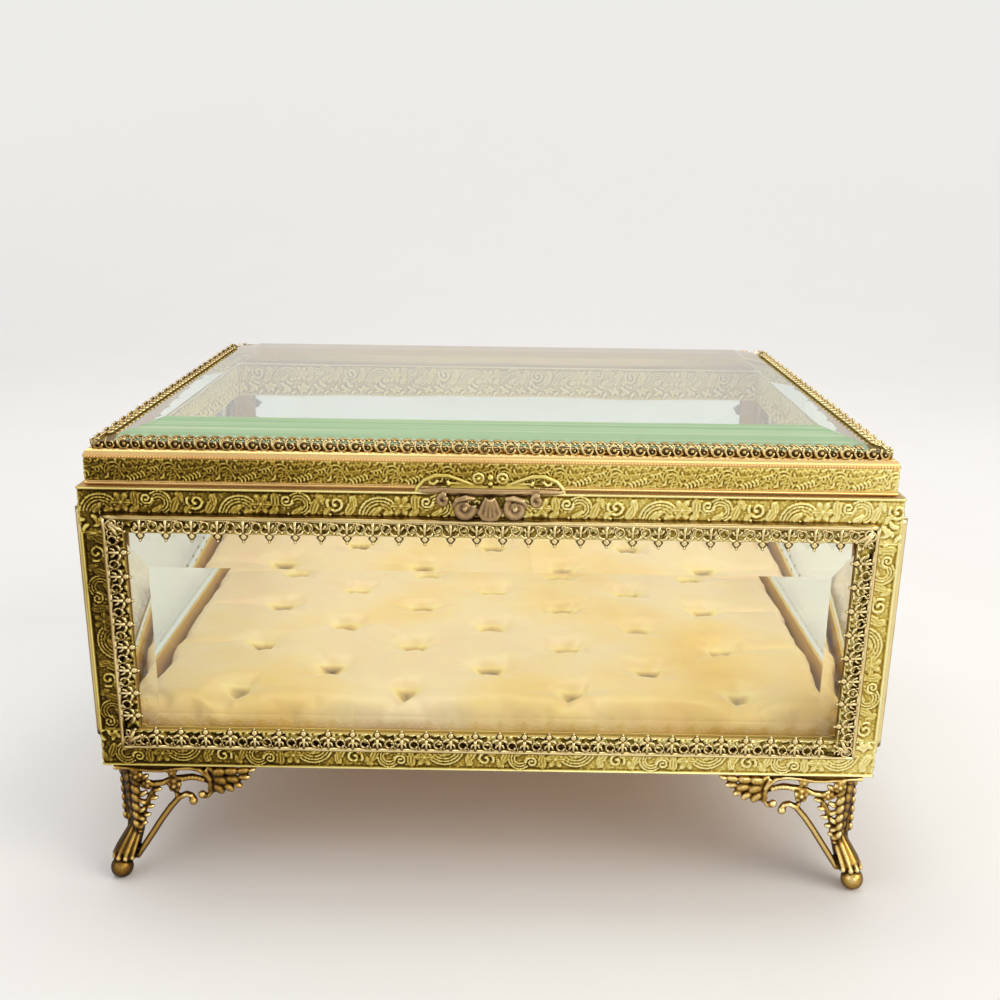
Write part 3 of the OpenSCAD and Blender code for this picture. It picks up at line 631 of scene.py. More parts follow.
# Fine punch marks dull the ground between the scrolls
random.seed(5)
PUNCH_MARKS = 420
marks = [(random.uniform(0, RAIL_REPEAT), random.uniform(0.6, TOP_RAIL_H)) for _ in range(PUNCH_MARKS)]
rail_die.press(marks, [random.uniform(0.16, 0.3) for _ in marks], 0.3, 1.2)
# The rolled edge along the outside
edge = [(x / 5, 0.2) for x in range(5 * RAIL_REPEAT)]
rail_die.press(edge, [0.42] * len(edge), 1.0, 1.6)
print("rail die", rail_die.height.shape, "cells")

# %% The die of the lid's band
# Finer: low curls all over its ground, three thin arcs, and crescents set like a feather
BAND_REPEAT, BAND_H, BAND_TOP = 13.5, 5.7, 6.7
GROUND_CURLS = 150
band_die = Die(BAND_REPEAT, BAND_H + 0.1)
random.seed(11)
for _ in range(GROUND_CURLS):
    band_die.leaf(random.uniform(0, BAND_REPEAT), random.uniform(0.5, 5.4), random.uniform(0, 360),
                  random.uniform(0.7, 1.5), random.uniform(0.03, 0.09), random.uniform(-200, 200),
                  random.uniform(0.25, 0.62))
band_die.arcs(3.0, 2.9, (1.9,), 150, 330, 0.2, 0.66)
band_die.arcs(3.4, 3.0, (1.1,), 190, 400, 0.18, 0.6)
band_die.arcs(10.8, 3.6, (1.7,), 170, 350, 0.18, 0.6)
for crescent in range(5):
    band_die.leaf(6.4 + 0.85 * crescent, 4.5 - 0.32 * crescent, 5, 1.7, 0.16, 110, 1.0)
for crescent in range(3):
    band_die.leaf(11.6 + 0.8 * crescent, 2.4 - 0.2 * crescent, -10, 1.3, 0.12, 100, 0.9)
band_die.leaf(3.9, 2.2, 40, 3.2, 0.05, 35, 0.75)
band_die.leaf(1.0, 5.0, -20, 1.6, 0.14, -70, 0.9)
print("band die", band_die.height.shape, "cells")


# %% Pressing a strip
RELIEF_RAIL, RELIEF_POST, RELIEF_BAND = 0.4, 0.34, 0.3
INNER_SHORT = 0.4  # an inner strip ends before the fold of the next wall
LIFTED, TUCKED_IN = 0.03, 0.04  # the strip's face stands on the sheet, its rim runs into it


def stamped_strip(name, length, width, die, high, matrix, body, offset=0.0, middle=0.48, gain=0.3,
                  material=stamped, cell=0.28):
    """A plate of the strip's face: x along, z = 0 at the outer edge and falling, face at -y."""
    bm = bmesh.new()
    bmesh.ops.create_grid(bm, x_segments=round(length / cell), y_segments=max(4, round(width / cell)),
                          size=0.5)
    flat = np.array([v.co[:2] for v in bm.verts])
    s, t = flat[:, 0] * length, (0.5 - flat[:, 1]) * width
    rise = die.at(s + offset, t) * high + LIFTED
    for v, x, depth, up in zip(bm.verts, s, rise, t):
        v.co = (x, -depth, -up)
    rim = [e for e in bm.edges if e.is_boundary]
    grown = bmesh.ops.extrude_edge_only(bm, edges=rim)["geom"]
    for v in (g for g in grown if isinstance(g, bmesh.types.BMVert)):
        v.co.y = TUCKED_IN
    bmesh.ops.recalc_face_normals(bm, faces=bm.faces)
    piece = place(bm, name, matrix, material, "stamped_brass", body)
    mark_hollows(piece, depth=0.05, rounds=4, middle=middle, gain=gain)
    return piece


def quarter(side, turn, out):
    """On a wall: turned in quarter steps about the middle of its face, then moved out."""
    return (on_wall(side) @ Matrix.Translation((0, 0, FOOT_H + BODY_H / 2))
            @ Matrix.Rotation(math.radians(-90 * turn), 4, "Y") @ Matrix.Translation((0, 0, out)))


print("relief of a rail:", RELIEF_RAIL, "mm, of the lid's band:", RELIEF_BAND, "mm")

# %% The stamped strips of the frame and the lid
post_h = BODY_H - TOP_RAIL_H - BOTTOM_RAIL_H
made = 0
for side, wall in enumerate(WALLS):
    long, edge = span(side), BODY_H / 2
    stamped_strip(f"stamping_top_{wall}", long, TOP_RAIL_H, rail_die, RELIEF_RAIL,
                  quarter(side, 0, edge), "casket", offset=7 + 11 * side)
    stamped_strip(f"stamping_bottom_{wall}", long, BOTTOM_RAIL_H, rail_die, RELIEF_RAIL,
                  quarter(side, 2, edge), "casket", offset=3 + 9 * side)
    for turn, end in ((1, "a"), (3, "b")):
        shift = (TOP_RAIL_H - BOTTOM_RAIL_H) / 2 * (-1 if turn == 1 else 1)
        stamped_strip(f"stamping_post_{wall}_{end}", post_h, POST_W, rail_die, RELIEF_POST,
                      quarter(side, turn, long / 2) @ Matrix.Translation((shift, 0, 0)), "casket",
                      offset=16 * turn, middle=0.56)
    # The rail is folded over, so the same pattern shows on its inner face, through the lid
    inner = on_wall(side) @ Matrix.Translation((0, FRAME_T, BODY_TOP)) @ Matrix.Rotation(math.pi, 4, "Z")
    stamped_strip(f"stamping_inner_{wall}", long - 2 * (FRAME_T + INNER_SHORT), TOP_RAIL_H, rail_die,
                  RELIEF_RAIL, inner, "casket", offset=5 + 9 * side, material=kept_gilt)
    stamped_strip(f"stamping_lid_{wall}", long - 2 * LID_INSET, BAND_H, band_die, RELIEF_BAND,
                  on_wall(side) @ Matrix.Translation((0, LID_INSET, LID_Z + BAND_TOP)), "lid",
                  offset=5 * side, middle=0.56, gain=0.32, cell=0.22)
    made += 6
print("stamped strips:", made)

# %% [markdown]
# ## Cast wires
#
# Pierced trim, the feet and the thumb lift are all castings whose ornament is made of rods
# that bend, swell and end in beads. One helper draws such a rod: a ring of points is set at
# each step, square to the rod, and the rings are bridged.


# %% Rods and beads
def rod(bm, points, radii, sides=6, squash=1.0):
    """A tube through the points; squash flattens it across the plan."""
    path = [Vector(p) for p in points]
    if isinstance(radii, (int, float)):
        radii = [radii] * len(path)
    rings = []
    for i, (at, radius) in enumerate(zip(path, radii)):
        run = path[min(i + 1, len(path) - 1)] - path[max(i - 1, 0)]
        turn = run.to_track_quat("Z", "Y").to_matrix().to_4x4()
        ends = i in (0, len(path) - 1)
        circle = bmesh.ops.create_circle(
            bm, segments=sides, radius=radius, cap_ends=ends, matrix=Matrix.Translation(at) @ turn)["verts"]
        for v in circle:
            v.co.y = at.y + (v.co.y - at.y) * squash
        rings.append(circle)
    for a, b in zip(rings, rings[1:]):
        loops = {e for ring in (a, b) for v in ring for e in v.link_edges
                 if e.other_vert(v) in ring}
        bmesh.ops.bridge_loops(bm, edges=list(loops))


def bead(bm, at, radius, squash=1.0, u=8, v=6):
    """A ball with u by v faces; squash flattens it across the plan."""
    matrix = Matrix.Translation(at) @ Matrix.Diagonal((1, squash, 1, 1))
    bmesh.ops.create_uvsphere(bm, u_segments=u, v_segments=v, radius=radius, matrix=matrix)


def spiral(centre, radius, start, turn, steps, inner):
    """Points in the plan (x, z) that wind in from the radius to that share of it, inner."""
    out = []
    for i in range(steps + 1):
        u = i / steps
        angle, r = math.radians(start + turn * u), radius * (1 - (1 - inner) * u)
        out.append((centre[0] + r * math.cos(angle), centre[1], centre[2] + r * math.sin(angle)))
    return out


print("rods, beads and spirals can be drawn")


# %% Copies and swept strips
def copies(bm, unit, matrices):
    """Adds the unit mesh once for each matrix."""
    for matrix in matrices:
        before = len(bm.verts)
        bm.from_mesh(unit)
        bm.verts.ensure_lookup_table()
        bmesh.ops.transform(bm, matrix=matrix, verts=bm.verts[before:])


def swept(bm, section, half, mitre):
    """Sweeps (y, z) points along x; mitre says how far each is cut back or stands out at an end."""
    ends = []
    for s in (-1, 1):
        ends.append([bm.verts.new((s * (half + mitre(y, z)), y, z)) for y, z in section])
        bm.faces.new(ends[-1])
    edges = {e for end in ends for v in end for e in v.link_edges}
    bmesh.ops.bridge_loops(bm, edges=list(edges))


def unit_mesh(bm, name):
    """Turns a bmesh into a mesh that copies can be made of."""
    mesh = bpy.data.meshes.new(name)
    bmesh.ops.recalc_face_normals(bm, faces=bm.faces)
    bm.to_mesh(mesh)
    bm.free()
    return mesh


print("strips are swept, and repeats copied along them")

# %% [markdown]
# ## Pierced gallery strips
#
# Each pane is framed by four strips of pierced brass, bent to an angle and soldered to the
# face of the rail. The flange stands out 2 mm and slopes; below it hangs an openwork curtain
# with a fleur-de-lis every 6.3 mm, and a ring and a scroll between them. Each repeat is drawn
# once from rods and beads of a few faces, then copied along the strip.

# %% One repeat of the gallery
PITCH, CORNER_RUN = 6.3, 5.0
SPARE = 3.0  # what stays free beside the last repeats, at both ends together


def gallery_repeat():
    """The fleur-de-lis, the ring and scroll beside it, and the edge that they hang from."""
    bm = bmesh.new()
    # Fleur-de-lis: a stem, two petals that curl up like an anchor's arms, a kite and a bead
    rod(bm, [(0, 0, -0.3), (0, 0, -1.8), (0, -0.1, -3.4)], [0.5, 0.42, 0.55], 6, 0.8)
    for s in (-1, 1):
        rod(bm, [(s * 0.2, -0.1, -3.5), (s * 0.95, -0.25, -3.65), (s * 1.7, -0.3, -3.25),
                 (s * 1.95, -0.25, -2.6)], [0.36, 0.42, 0.4, 0.26], 6, 0.8)
        rod(bm, [(0, 0, -2.5), (s * 0.8, -0.1, -2.0), (s * 1.15, -0.2, -1.2)], [0.26, 0.3, 0.32], 5, 0.8)
    kite = Matrix.Translation((0, -0.1, -4.45)) @ Matrix.Diagonal((1.0, 0.6, 1.3, 1)) @ Matrix.Rotation(
        math.radians(90), 4, "X")
    bmesh.ops.create_cone(bm, segments=4, radius1=1.2, radius2=0.4, depth=0.6, cap_ends=True, matrix=kite)
    bead(bm, (0, -0.1, -5.65), 0.42, 0.9, 6, 5)
    # Ring, half a pitch along, with a bead under it and a scroll beside it
    ring_at = (PITCH / 2, -0.05, -1.95)
    rod(bm, spiral(ring_at, 1.12, 90, 360, 10, 1.0), 0.32, 5, 0.9)
    bead(bm, (PITCH / 2, -0.1, -3.25), 0.42, 0.9, 6, 5)
    rod(bm, spiral((PITCH / 2 - 1.15, -0.25, -1.0), 0.72, -60, 300, 8, 0.3), 0.24, 5, 0.9)
    # The curtain's upper edge
    rod(bm, [(-PITCH / 2, 0, -0.45), (PITCH / 2, 0, -0.45)], 0.42, 4, 0.7)
    return unit_mesh(bm, "gallery_repeat")


repeat = gallery_repeat()
print("one repeat has", len(repeat.polygons), "faces")


# %% Gallery strips on all walls
def gallery_piece(name, length, matrix, stands_for, proud):
    """One strip: its flange, its curtain of repeats and what fills its mitred ends."""
    half = length / 2 - MITRE_GAP
    count = int((length - 2 * CORNER_RUN - SPARE) / PITCH)
    start = -(count - 1) / 2 * PITCH
    bm = bmesh.new()
    # Flange: a bent strip whose section is swept from mitre to mitre
    section = [(0.0, 0.0), (-1.5 - proud, -0.55), (-1.9 - proud, -0.72), (-2.05 - proud, -0.98),
               (-2.05 - proud, -1.5), (-1.45 - proud, -1.5), (-1.45 - proud, -1.25), (0.0, -0.62)]
    swept(bm, section, half, lambda y, z: z)
    cuts = [e for e in bm.edges if abs(e.verts[0].co.x - e.verts[1].co.x) > half]
    bmesh.ops.subdivide_edges(bm, edges=cuts, cuts=int(length / 2), use_grid_fill=True)
    # Solder has run along the flange, which is a little uneven
    rng = np.random.default_rng(len(name) * 7 + count)
    for v in bm.verts:
        if v.co.z < -0.1 and abs(v.co.x) < half - 2:
            v.co.z += rng.uniform(-0.05, 0.05)
    copies(bm, repeat, [Matrix.Translation((start + i * PITCH, -1.75 - proud, -1.1)) for i in range(count)])
    # A ring, a leaf and a bead fill each mitred corner
    for s in (-1, 1):
        x, y = s * (half - 2.6), -1.8 - proud
        rod(bm, spiral((x, y, -3.2), 1.05, 90, 360, 10, 1.0), 0.34, 5, 0.9)
        for end, fat in (((s * (half - 6.2), -4.6), 0.5), ((s * (half - 4.6), -6.2), 0.45)):
            rod(bm, [(x, y, -2.0), ((x + end[0]) / 2, y - 0.1, (-2.0 + end[1]) / 2 - 0.5),
                     (end[0], y, end[1])], [0.4, fat, 0.28], 6, 0.8)
            bead(bm, (end[0], y - 0.05, end[1]), 0.45, 0.9, 6, 5)
        rod(bm, spiral((s * (half - 5.2), y - 0.05, -2.6), 0.9, 30, 320 * s, 8, 0.3), 0.28, 5, 0.9)
    bmesh.ops.recalc_face_normals(bm, faces=bm.faces)
    piece = place(bm, name, matrix, pierced, "pierced_brass", "casket", [stands_for])
    mark_hollows(piece, depth=0.2, rounds=3, middle=0.5, gain=0.5)
    return piece


END_OF_TURN = {0: "top", 2: "bottom"}
# The openings start a little lower than the CAD has them, as the photo shows
TOP_SHIFT = 1.0
# The strips of the side walls stand further out: the photo shows them past the posts
SIDE_PROUD = 1.3
for side, wall in enumerate(WALLS):
    across, up = span(side) - 2 * GALLERY_IN, BODY_H - 2 * GALLERY_IN - TOP_SHIFT
    for turn in range(4):
        upright = turn % 2 == 1
        # Turn 1 is the left end of the wall, where the wall before it begins
        end = END_OF_TURN.get(turn) or (WALLS[(side - 1) % 4] if turn == 1 else WALLS[(side + 1) % 4])
        low = Matrix.Translation((0, 0, -TOP_SHIFT / 2 * MM))
        gallery_piece(f"openwork_{wall}_{end}", up if upright else across,
                      low @ quarter(side, turn, (across if upright else up) / 2), f"gallery_{wall}_{end}",
                      SIDE_PROUD * (side % 2))
print("gallery strips: 16")

# %% [markdown]
# ## The lid's rim
#
# The rim is one strip, rolled to a flat band, a beaded edge and a hollow moulding, and cut to
# mitres at the corners. The beads are 0.75 mm apart, so each has only a few faces. The rolled
# profile is swept along each side; the band's scrolls were pressed above.

# %% Beaded edge and rolled profile
BEAD_STEP, BEAD_R = 0.75, 0.4
BEAD_Y, BEAD_Z = -0.08, 7.0
cove = [(1.45 - 1.45 * math.cos(math.radians(a)), 8.8 - 1.4 * (1 - math.sin(math.radians(a))))
        for a in range(5, 91, 17)]
rim_section = (
    [(0.0, 0.0), (-0.22, 0.12), (-0.3, 0.4), (-0.22, 0.7), (0.0, 0.85), (0.0, 6.65), (-0.12, 6.75),
     (-0.12, 7.25), (0.0, 7.4)] + cove + [(2.2, 8.8), (2.2, 6.6), (0.8, 6.6), (0.8, 0.0)])


def cut_back(y, z):
    """The mitre of a strip that goes round the lid: the deeper, the shorter."""
    return -y


for side, wall in enumerate(WALLS):
    half = span(side) / 2 - LID_INSET
    bm = bmesh.new()
    swept(bm, rim_section, half - MITRE_GAP, cut_back)
    ball = bmesh.new()
    bead(ball, (0, 0, 0), BEAD_R, 1.0, 6, 5)
    count = int(2 * half / BEAD_STEP)
    copies(bm, unit_mesh(ball, "rim_bead"), [
        Matrix.Translation(((i - (count - 1) / 2) * BEAD_STEP, BEAD_Y, BEAD_Z)) for i in range(count)])
    bmesh.ops.recalc_face_normals(bm, faces=bm.faces)
    piece = place(bm, f"rolled_rim_{wall}", on_wall(side) @ Matrix.Translation((0, LID_INSET, LID_Z)),
                  rolled, "stamped_brass", "lid", [f"lid_rim_{wall}"])
    mark_hollows(piece, depth=0.2, rounds=2, middle=0.35, gain=0.3)
    for polygon in piece.data.polygons:
        polygon.use_smooth = polygon.area < 2 * MM * MM
print("rim strips: 4, beads on the front:", count)

# %% [markdown]
# ## The lid's gallery
#
# An openwork strip grips the edge of the lid's glass: a leg of scrolls stands in front of the
# edge and a scalloped lap lies on the bevel. Every 6.25 mm there is a C with a ball in it and
# a hook beside it.

# %% Scroll strips round the lid's glass
LID_PITCH = 6.25
PANE_SEAT, PANE_EDGE = 8.15, 1.8
EDGE_TOP = LID_Z + PANE_SEAT + PANE_EDGE
BEVEL_RISE, BEVEL_RUN = 3.7, 13.5
BEVEL = math.degrees(math.atan(BEVEL_RISE / BEVEL_RUN))
LEG_OUT = 1.6


def lid_repeat():
    """The leg's repeat: a C with a ball in it, a hook, and a small leaf between."""
    bm = bmesh.new()
    # C with a ball: its back scallops the strip's lower edge
    rod(bm, spiral((-1.5, 0.0, 0.0), 1.25, 60, 300, 12, 0.85), [0.36] * 13, 5, 0.8)
    bead(bm, (-1.35, -0.1, 0.15), 0.55, 0.9, 8, 6)
    # Hook
    rod(bm, [(0.55, 0, 1.3), (0.35, -0.05, 0.2), (0.8, -0.1, -0.85), (1.7, -0.1, -1.05),
             (2.35, -0.1, -0.3), (2.1, -0.1, 0.55), (1.55, -0.1, 0.6)],
        [0.3, 0.34, 0.38, 0.4, 0.36, 0.3, 0.34], 5, 0.8)
    bead(bm, (1.5, -0.1, -0.15), 0.36, 0.9, 6, 5)
    # Small leaf between repeats
    rod(bm, [(-3.05, 0, 1.2), (-2.95, -0.05, 0.2), (-2.9, 0, -0.8)], [0.3, 0.42, 0.22], 5, 0.7)
    return unit_mesh(bm, "lid_repeat")


def lap_repeat():
    """The lap's repeat: two scallops, each with a bead in it and a leaf beside it."""
    bm = bmesh.new()
    for x in (-1.56, 1.56):
        rod(bm, spiral((x, -0.1, 1.5), 1.15, -20, 220, 9, 1.0), [0.4] * 10, 5, 0.8)
        bead(bm, (x, -0.25, 1.3), 0.5, 0.8, 6, 5)
        rod(bm, [(x - 1.56, 0, 0.2), (x - 1.5, -0.05, 1.2), (x - 1.56, -0.05, 2.0)],
            [0.34, 0.4, 0.22], 5, 0.7)
    return unit_mesh(bm, "lap_repeat")


leg_unit, lap_unit = lid_repeat(), lap_repeat()
print("a repeat has", len(leg_unit.polygons), "faces on the leg and", len(lap_unit.polygons), "on the lap")

# %% The scroll strips on all sides of the lid
FOLD = [(0.0, 0.1), (0.0, 0.25), (0.15, 0.4), (0.65, 0.5), (0.6, 0.2)]
BACKING = [(0.4, -1.6), (0.4, 0.2), (0.55, 0.2), (0.55, -1.6)]
for side, wall in enumerate(WALLS):
    half = span(side) / 2 - LID_INSET - LEG_OUT
    count = round(2 * half / LID_PITCH)
    step = 2 * half / count
    shape = bmesh.new()
    places = [(i - (count - 1) / 2) * step for i in range(count)]
    copies(shape, leg_unit, [Matrix.Translation((x, 0.1, EDGE_TOP - 0.15)) for x in places])
    # The lap is drawn standing, then tipped back onto the bevel
    tip = Matrix.Translation((0, 0.55, EDGE_TOP + 0.35)) @ Matrix.Rotation(math.radians(BEVEL - 90), 4, "X")
    copies(shape, lap_unit, [tip @ Matrix.Translation((x, 0, 0)) for x in places[1:-1]])
    swept(shape, [(y, EDGE_TOP + z) for y, z in FOLD], half - MITRE_GAP, cut_back)
    # A plain bright strip behind the leg hides the ground edge of the glass
    backing = bmesh.new()
    swept(backing, [(y, EDGE_TOP + z) for y, z in BACKING], half - MITRE_GAP, cut_back)
    bmesh.ops.recalc_face_normals(backing, faces=backing.faces)
    wall_matrix = on_wall(side) @ Matrix.Translation((0, LID_INSET + LEG_OUT, 0))
    place(backing, f"backing_lid_{wall}", wall_matrix, hinge_brass, "pierced_brass", "lid")
    # A ball rounds each corner off
    for s in (-1, 1):
        bead(shape, (s * (half - 0.7), 0.7, EDGE_TOP + 0.1), 1.1, 1.0, 8, 6)
    bmesh.ops.recalc_face_normals(shape, faces=shape.faces)
    piece = place(shape, f"scrollwork_lid_{wall}", wall_matrix, pierced, "pierced_brass", "lid",
                  [f"lid_gallery_{wall}"])
    mark_hollows(piece, depth=0.2, rounds=3, middle=0.6, gain=0.5)
print("lid scroll strips: 4,", count, "repeats on a side")

# %% [markdown]
# ## Feet
#
# Each foot is one casting in the form of a corner bracket: two wings of leaves and scrolls, a
# smooth brace, an ankle wrapped in acanthus, and a ball toe. A wing is drawn flat from rods
# and beads, set behind the rail's face, and mirrored across the corner's diagonal. A voxel
# remesh then melts the rods into one skin, as metal fills a mould.

# %% Leaves and flowers
FOOT_DEPTH, FOOT_BACK = 2.4, 1.2
TOE_Z, TOE_R, TOE_IN = 2.7, 3.0, 1.6
FOOT_VOXEL, LIFT_VOXEL = 0.27, 0.22


def lobe(bm, at, heading, long, fat, deep, proud):
    """A plump leaf: an oval that points along its heading, in degrees up from the x axis."""
    matrix = (Matrix.Translation((at[0], proud, at[1])) @ Matrix.Rotation(math.radians(-heading), 4, "Y")
              @ Matrix.Diagonal((long / 2, deep, fat / 2, 1)))
    bmesh.ops.create_uvsphere(bm, u_segments=10, v_segments=8, radius=1.0, matrix=matrix)


def flower(bm, at, radius):
    """Five petals round an eye."""
    for i in range(5):
        a = math.radians(90 + 72 * i)
        bead(bm, (at[0] + radius * 0.58 * math.cos(a), at[1], at[2] + radius * 0.58 * math.sin(a)),
             radius * 0.5, 0.8, 8, 6)
    bead(bm, (at[0], at[1] - 0.25 * radius, at[2]), radius * 0.36, 1.0, 8, 6)


print("wings of the feet:", FOOT_DEPTH, "mm deep, ball toes", 2 * TOE_R, "mm across")


# %% Drawing a wing
def wing(bm):
    """One wing, flat: x runs from the corner along the rail and z down from its lower edge."""
    # Upper band and closing scroll
    rod(bm, [(1.6, 0, -2.0), (4.7, 0, -2.1), (8, 0, -2.6), (11.3, 0, -2.9), (14.3, 0, -2.9),
             (18.1, 0, -2.2), (21.6, 0, -1.9), (24.2, 0, -2.3), (26.1, 0, -4.0), (27.2, 0, -6.4),
             (27.1, 0, -8.8), (25.8, 0, -10.4), (24.7, 0, -10.6)],
        [0.7, 0.65, 0.6, 0.6, 0.6, 0.65, 0.7, 0.8, 0.9, 0.85, 0.75, 0.6, 0.5], 8, 1.5)
    bead(bm, (24.5, -0.2, -9.8), 1.15, 1.0)
    # Smooth brace with a curled head
    rod(bm, [(22.3, 0, -11.4), (21.5, 0, -10.2), (20.2, 0, -9.8), (18.2, 0, -10.9), (15.8, 0, -13.7),
             (13.2, 0, -17.4), (10.6, 0, -21.5), (8.2, 0, -25.2), (6.4, 0, -28.0), (5.8, 0, -29.4)],
        [0.7, 0.75, 0.8, 0.85, 0.9, 0.9, 0.9, 0.9, 0.85, 0.6], 10, 1.35)
    bead(bm, (22.0, -0.2, -11.7), 1.25, 1.0)
    # Stem: two strands and the leaves that wrap them
    rod(bm, [(6.0, 0.8, -2.4), (6.0, 0.8, -8), (5.9, 0.8, -14), (5.8, 0.8, -22.4)], 0.7, 6, 0.9)
    rod(bm, [(12.6, 0.4, -7.4), (10.2, 0.4, -11.2), (8.2, 0.5, -15.6), (7.2, 0.6, -19),
             (6.9, 0.6, -22)], 0.8, 6, 1.0)
    for i in range(7):
        u = i / 6
        lobe(bm, (7.0 - 0.6 * u, -3.4 - 15.6 * u), -58 - 8 * u, 3.9 - 0.9 * u, 2.2 - 0.4 * u, 1.0, -0.2)
        lobe(bm, (9.4 - 2.0 * u, -5.0 - 14.8 * u), 35 - 60 * (i % 2), 3.2 - 0.8 * u, 1.5, 0.9, -0.1)
    for i in range(5):
        u = i / 4
        lobe(bm, (12.6 - 4.2 * u, -8.6 - 10.2 * u), 15, 2.9 - 0.9 * u, 1.25, 0.8, -0.1)
    # Garland with its flowers
    rod(bm, [(26.4, 0, -6.2), (24.4, 0, -5.1), (22.0, 0, -4.7), (19.4, 0, -5.0), (16.6, 0, -5.4),
             (14.2, 0, -6.6), (11.4, 0, -7.0), (8.8, 0, -6.2)],
        [0.5, 0.7, 0.9, 0.85, 0.9, 0.85, 0.9, 0.7], 8, 1.2)
    for i in range(7):
        u = i / 6
        bead(bm, (25.0 - 5.2 * u, -0.6, -5.2 + 0.6 * math.sin(u * 3)), 0.75, 0.9)
    flower(bm, (16.9, -0.5, -3.3), 1.35)
    flower(bm, (17.4, -0.7, -7.0), 1.9)
    flower(bm, (10.4, -0.6, -7.0), 1.5)
    flower(bm, (7.4, -0.6, -4.4), 1.7)
    rod(bm, [(17.4, 0, -7.8), (17.8, 0, -10.8)], 0.65, 6, 1.3)
    # Acanthus tip: rows of plump leaves that close on each other, behind a collar
    rod(bm, [(26.0, 0, -2.2), (37.6, 0, -2.6)], [1.1, 0.6], 6, 0.8)
    rod(bm, [(26.4, 0, -5.0), (35.6, 0, -4.8)], [1.3, 0.7], 6, 0.8)
    for x, z, heading, long, fat in (
            (29.4, -2.8, 8, 4.2, 2.7), (32.6, -2.5, 4, 4.2, 2.5), (35.8, -2.2, 12, 4.0, 2.1),
            (38.2, -1.9, 24, 2.6, 1.4), (29.8, -5.2, -20, 4.4, 2.7), (33.0, -4.8, -12, 4.2, 2.4),
            (36.0, -4.1, -2, 3.6, 1.8),
            (29.2, -7.6, -48, 4.0, 2.4), (31.8, -7.2, -38, 3.6, 2.1), (34.2, -6.4, -26, 3.0, 1.7)):
        lobe(bm, (x, z), heading, long, fat, 1.0, -0.7)
    for k in (26.4, 27.9):
        rod(bm, [(k - 0.6, -0.5, -2.2), (k + 0.6, -0.7, -5.0), (k, -0.5, -8.8)], [0.5, 0.62, 0.42], 6, 1.2)
    # Tab behind the rail's face
    tab = Matrix.Translation((14.4, 0.5, 0.4)) @ Matrix.Diagonal((24, 1.3, 6.2, 1))
    bmesh.ops.create_cube(bm, size=1, matrix=tab)


print("a wing hangs from a tab behind the rail's face")


# %% Melting a drawing into one casting
def melted(bm, name, voxel):
    """Fuses overlapping shapes into one skin and softens it, in millimetres."""
    mesh = bpy.data.meshes.new(name)
    bmesh.ops.recalc_face_normals(bm, faces=bm.faces)
    bm.to_mesh(mesh)
    bm.free()
    source = bpy.data.objects.new(name, mesh)
    scene.collection.objects.link(source)
    remesh = source.modifiers.new("melt", "REMESH")
    remesh.mode, remesh.voxel_size, remesh.adaptivity = "VOXEL", voxel, 0.0
    bpy.context.view_layer.update()
    fused = bpy.data.meshes.new_from_object(source.evaluated_get(bpy.context.evaluated_depsgraph_get()))
    bpy.data.objects.remove(source)
    out = bmesh.new()
    out.from_mesh(fused)
    bmesh.ops.smooth_vert(out, verts=out.verts, factor=0.5,
                          use_axis_x=True, use_axis_y=True, use_axis_z=True)
    return out


print("castings are melted with voxels of", FOOT_VOXEL, "and", LIFT_VOXEL, "mm")


# %% The four feet
def one_foot():
    """The casting at one corner: two wings, an ankle with flutes, and a ball toe."""
    bm = bmesh.new()
    plate = bmesh.new()
    wing(plate)
    bmesh.ops.recalc_face_normals(plate, faces=plate.faces)
    flat = unit_mesh(plate, "wing")
    stand = Matrix.Translation((0, FOOT_BACK + FOOT_DEPTH / 2, FOOT_H))
    swap = Matrix(((0, 1, 0, 0), (1, 0, 0, 0), (0, 0, 1, 0), (0, 0, 0, 1)))
    copies(bm, flat, [stand, swap @ stand])
    # Leaves also wrap the corner between the wings
    for i in range(7):
        u = i / 6
        corner = bmesh.new()
        lobe(corner, (0, -3.0 - 16.6 * u), -78 if i % 2 else -102, 4.2, 3.0 - 0.5 * u, 1.3, 0.0)
        out = 4.2 + 0.9 * u
        diagonal = Matrix.Translation((out, out, FOOT_H)) @ Matrix.Rotation(math.radians(-45), 4, "Z")
        copies(bm, unit_mesh(corner, "corner_leaf"), [diagonal])
    # Ankle and toe follow the corner's diagonal; the ankle flares down to the ball
    ankle = [(6.1, -19.2, 1.8), (5.3, -21.8, 2.1), (4.3, -24.2, 2.6), (3.4, -26.4, 3.05), (2.8, -28.0, 3.3),
             (2.0, -29.6, 2.2)]
    rod(bm, [(u, u, FOOT_H + z) for u, z, r in ankle], [r for u, z, r in ankle], 16)
    # Flutes run down the ankle and curl over at the ball
    for angle in (-80, -45, -12, 20, 55, 85):
        way = math.radians(225 + angle)
        points = [(u + r * 0.98 * math.cos(way), u + r * 0.98 * math.sin(way), FOOT_H + z)
                  for u, z, r in ankle[:-1]]
        rod(bm, points, [0.5, 0.66, 0.7, 0.7, 0.6], 7)
        bead(bm, (points[-1][0], points[-1][1], points[-1][2] - 0.3), 0.8, 1.0)
    bead(bm, (TOE_IN, TOE_IN, TOE_Z), TOE_R, 1.0, 20, 14)
    return melted(bm, "cast_foot", FOOT_VOXEL)


foot_bm = one_foot()
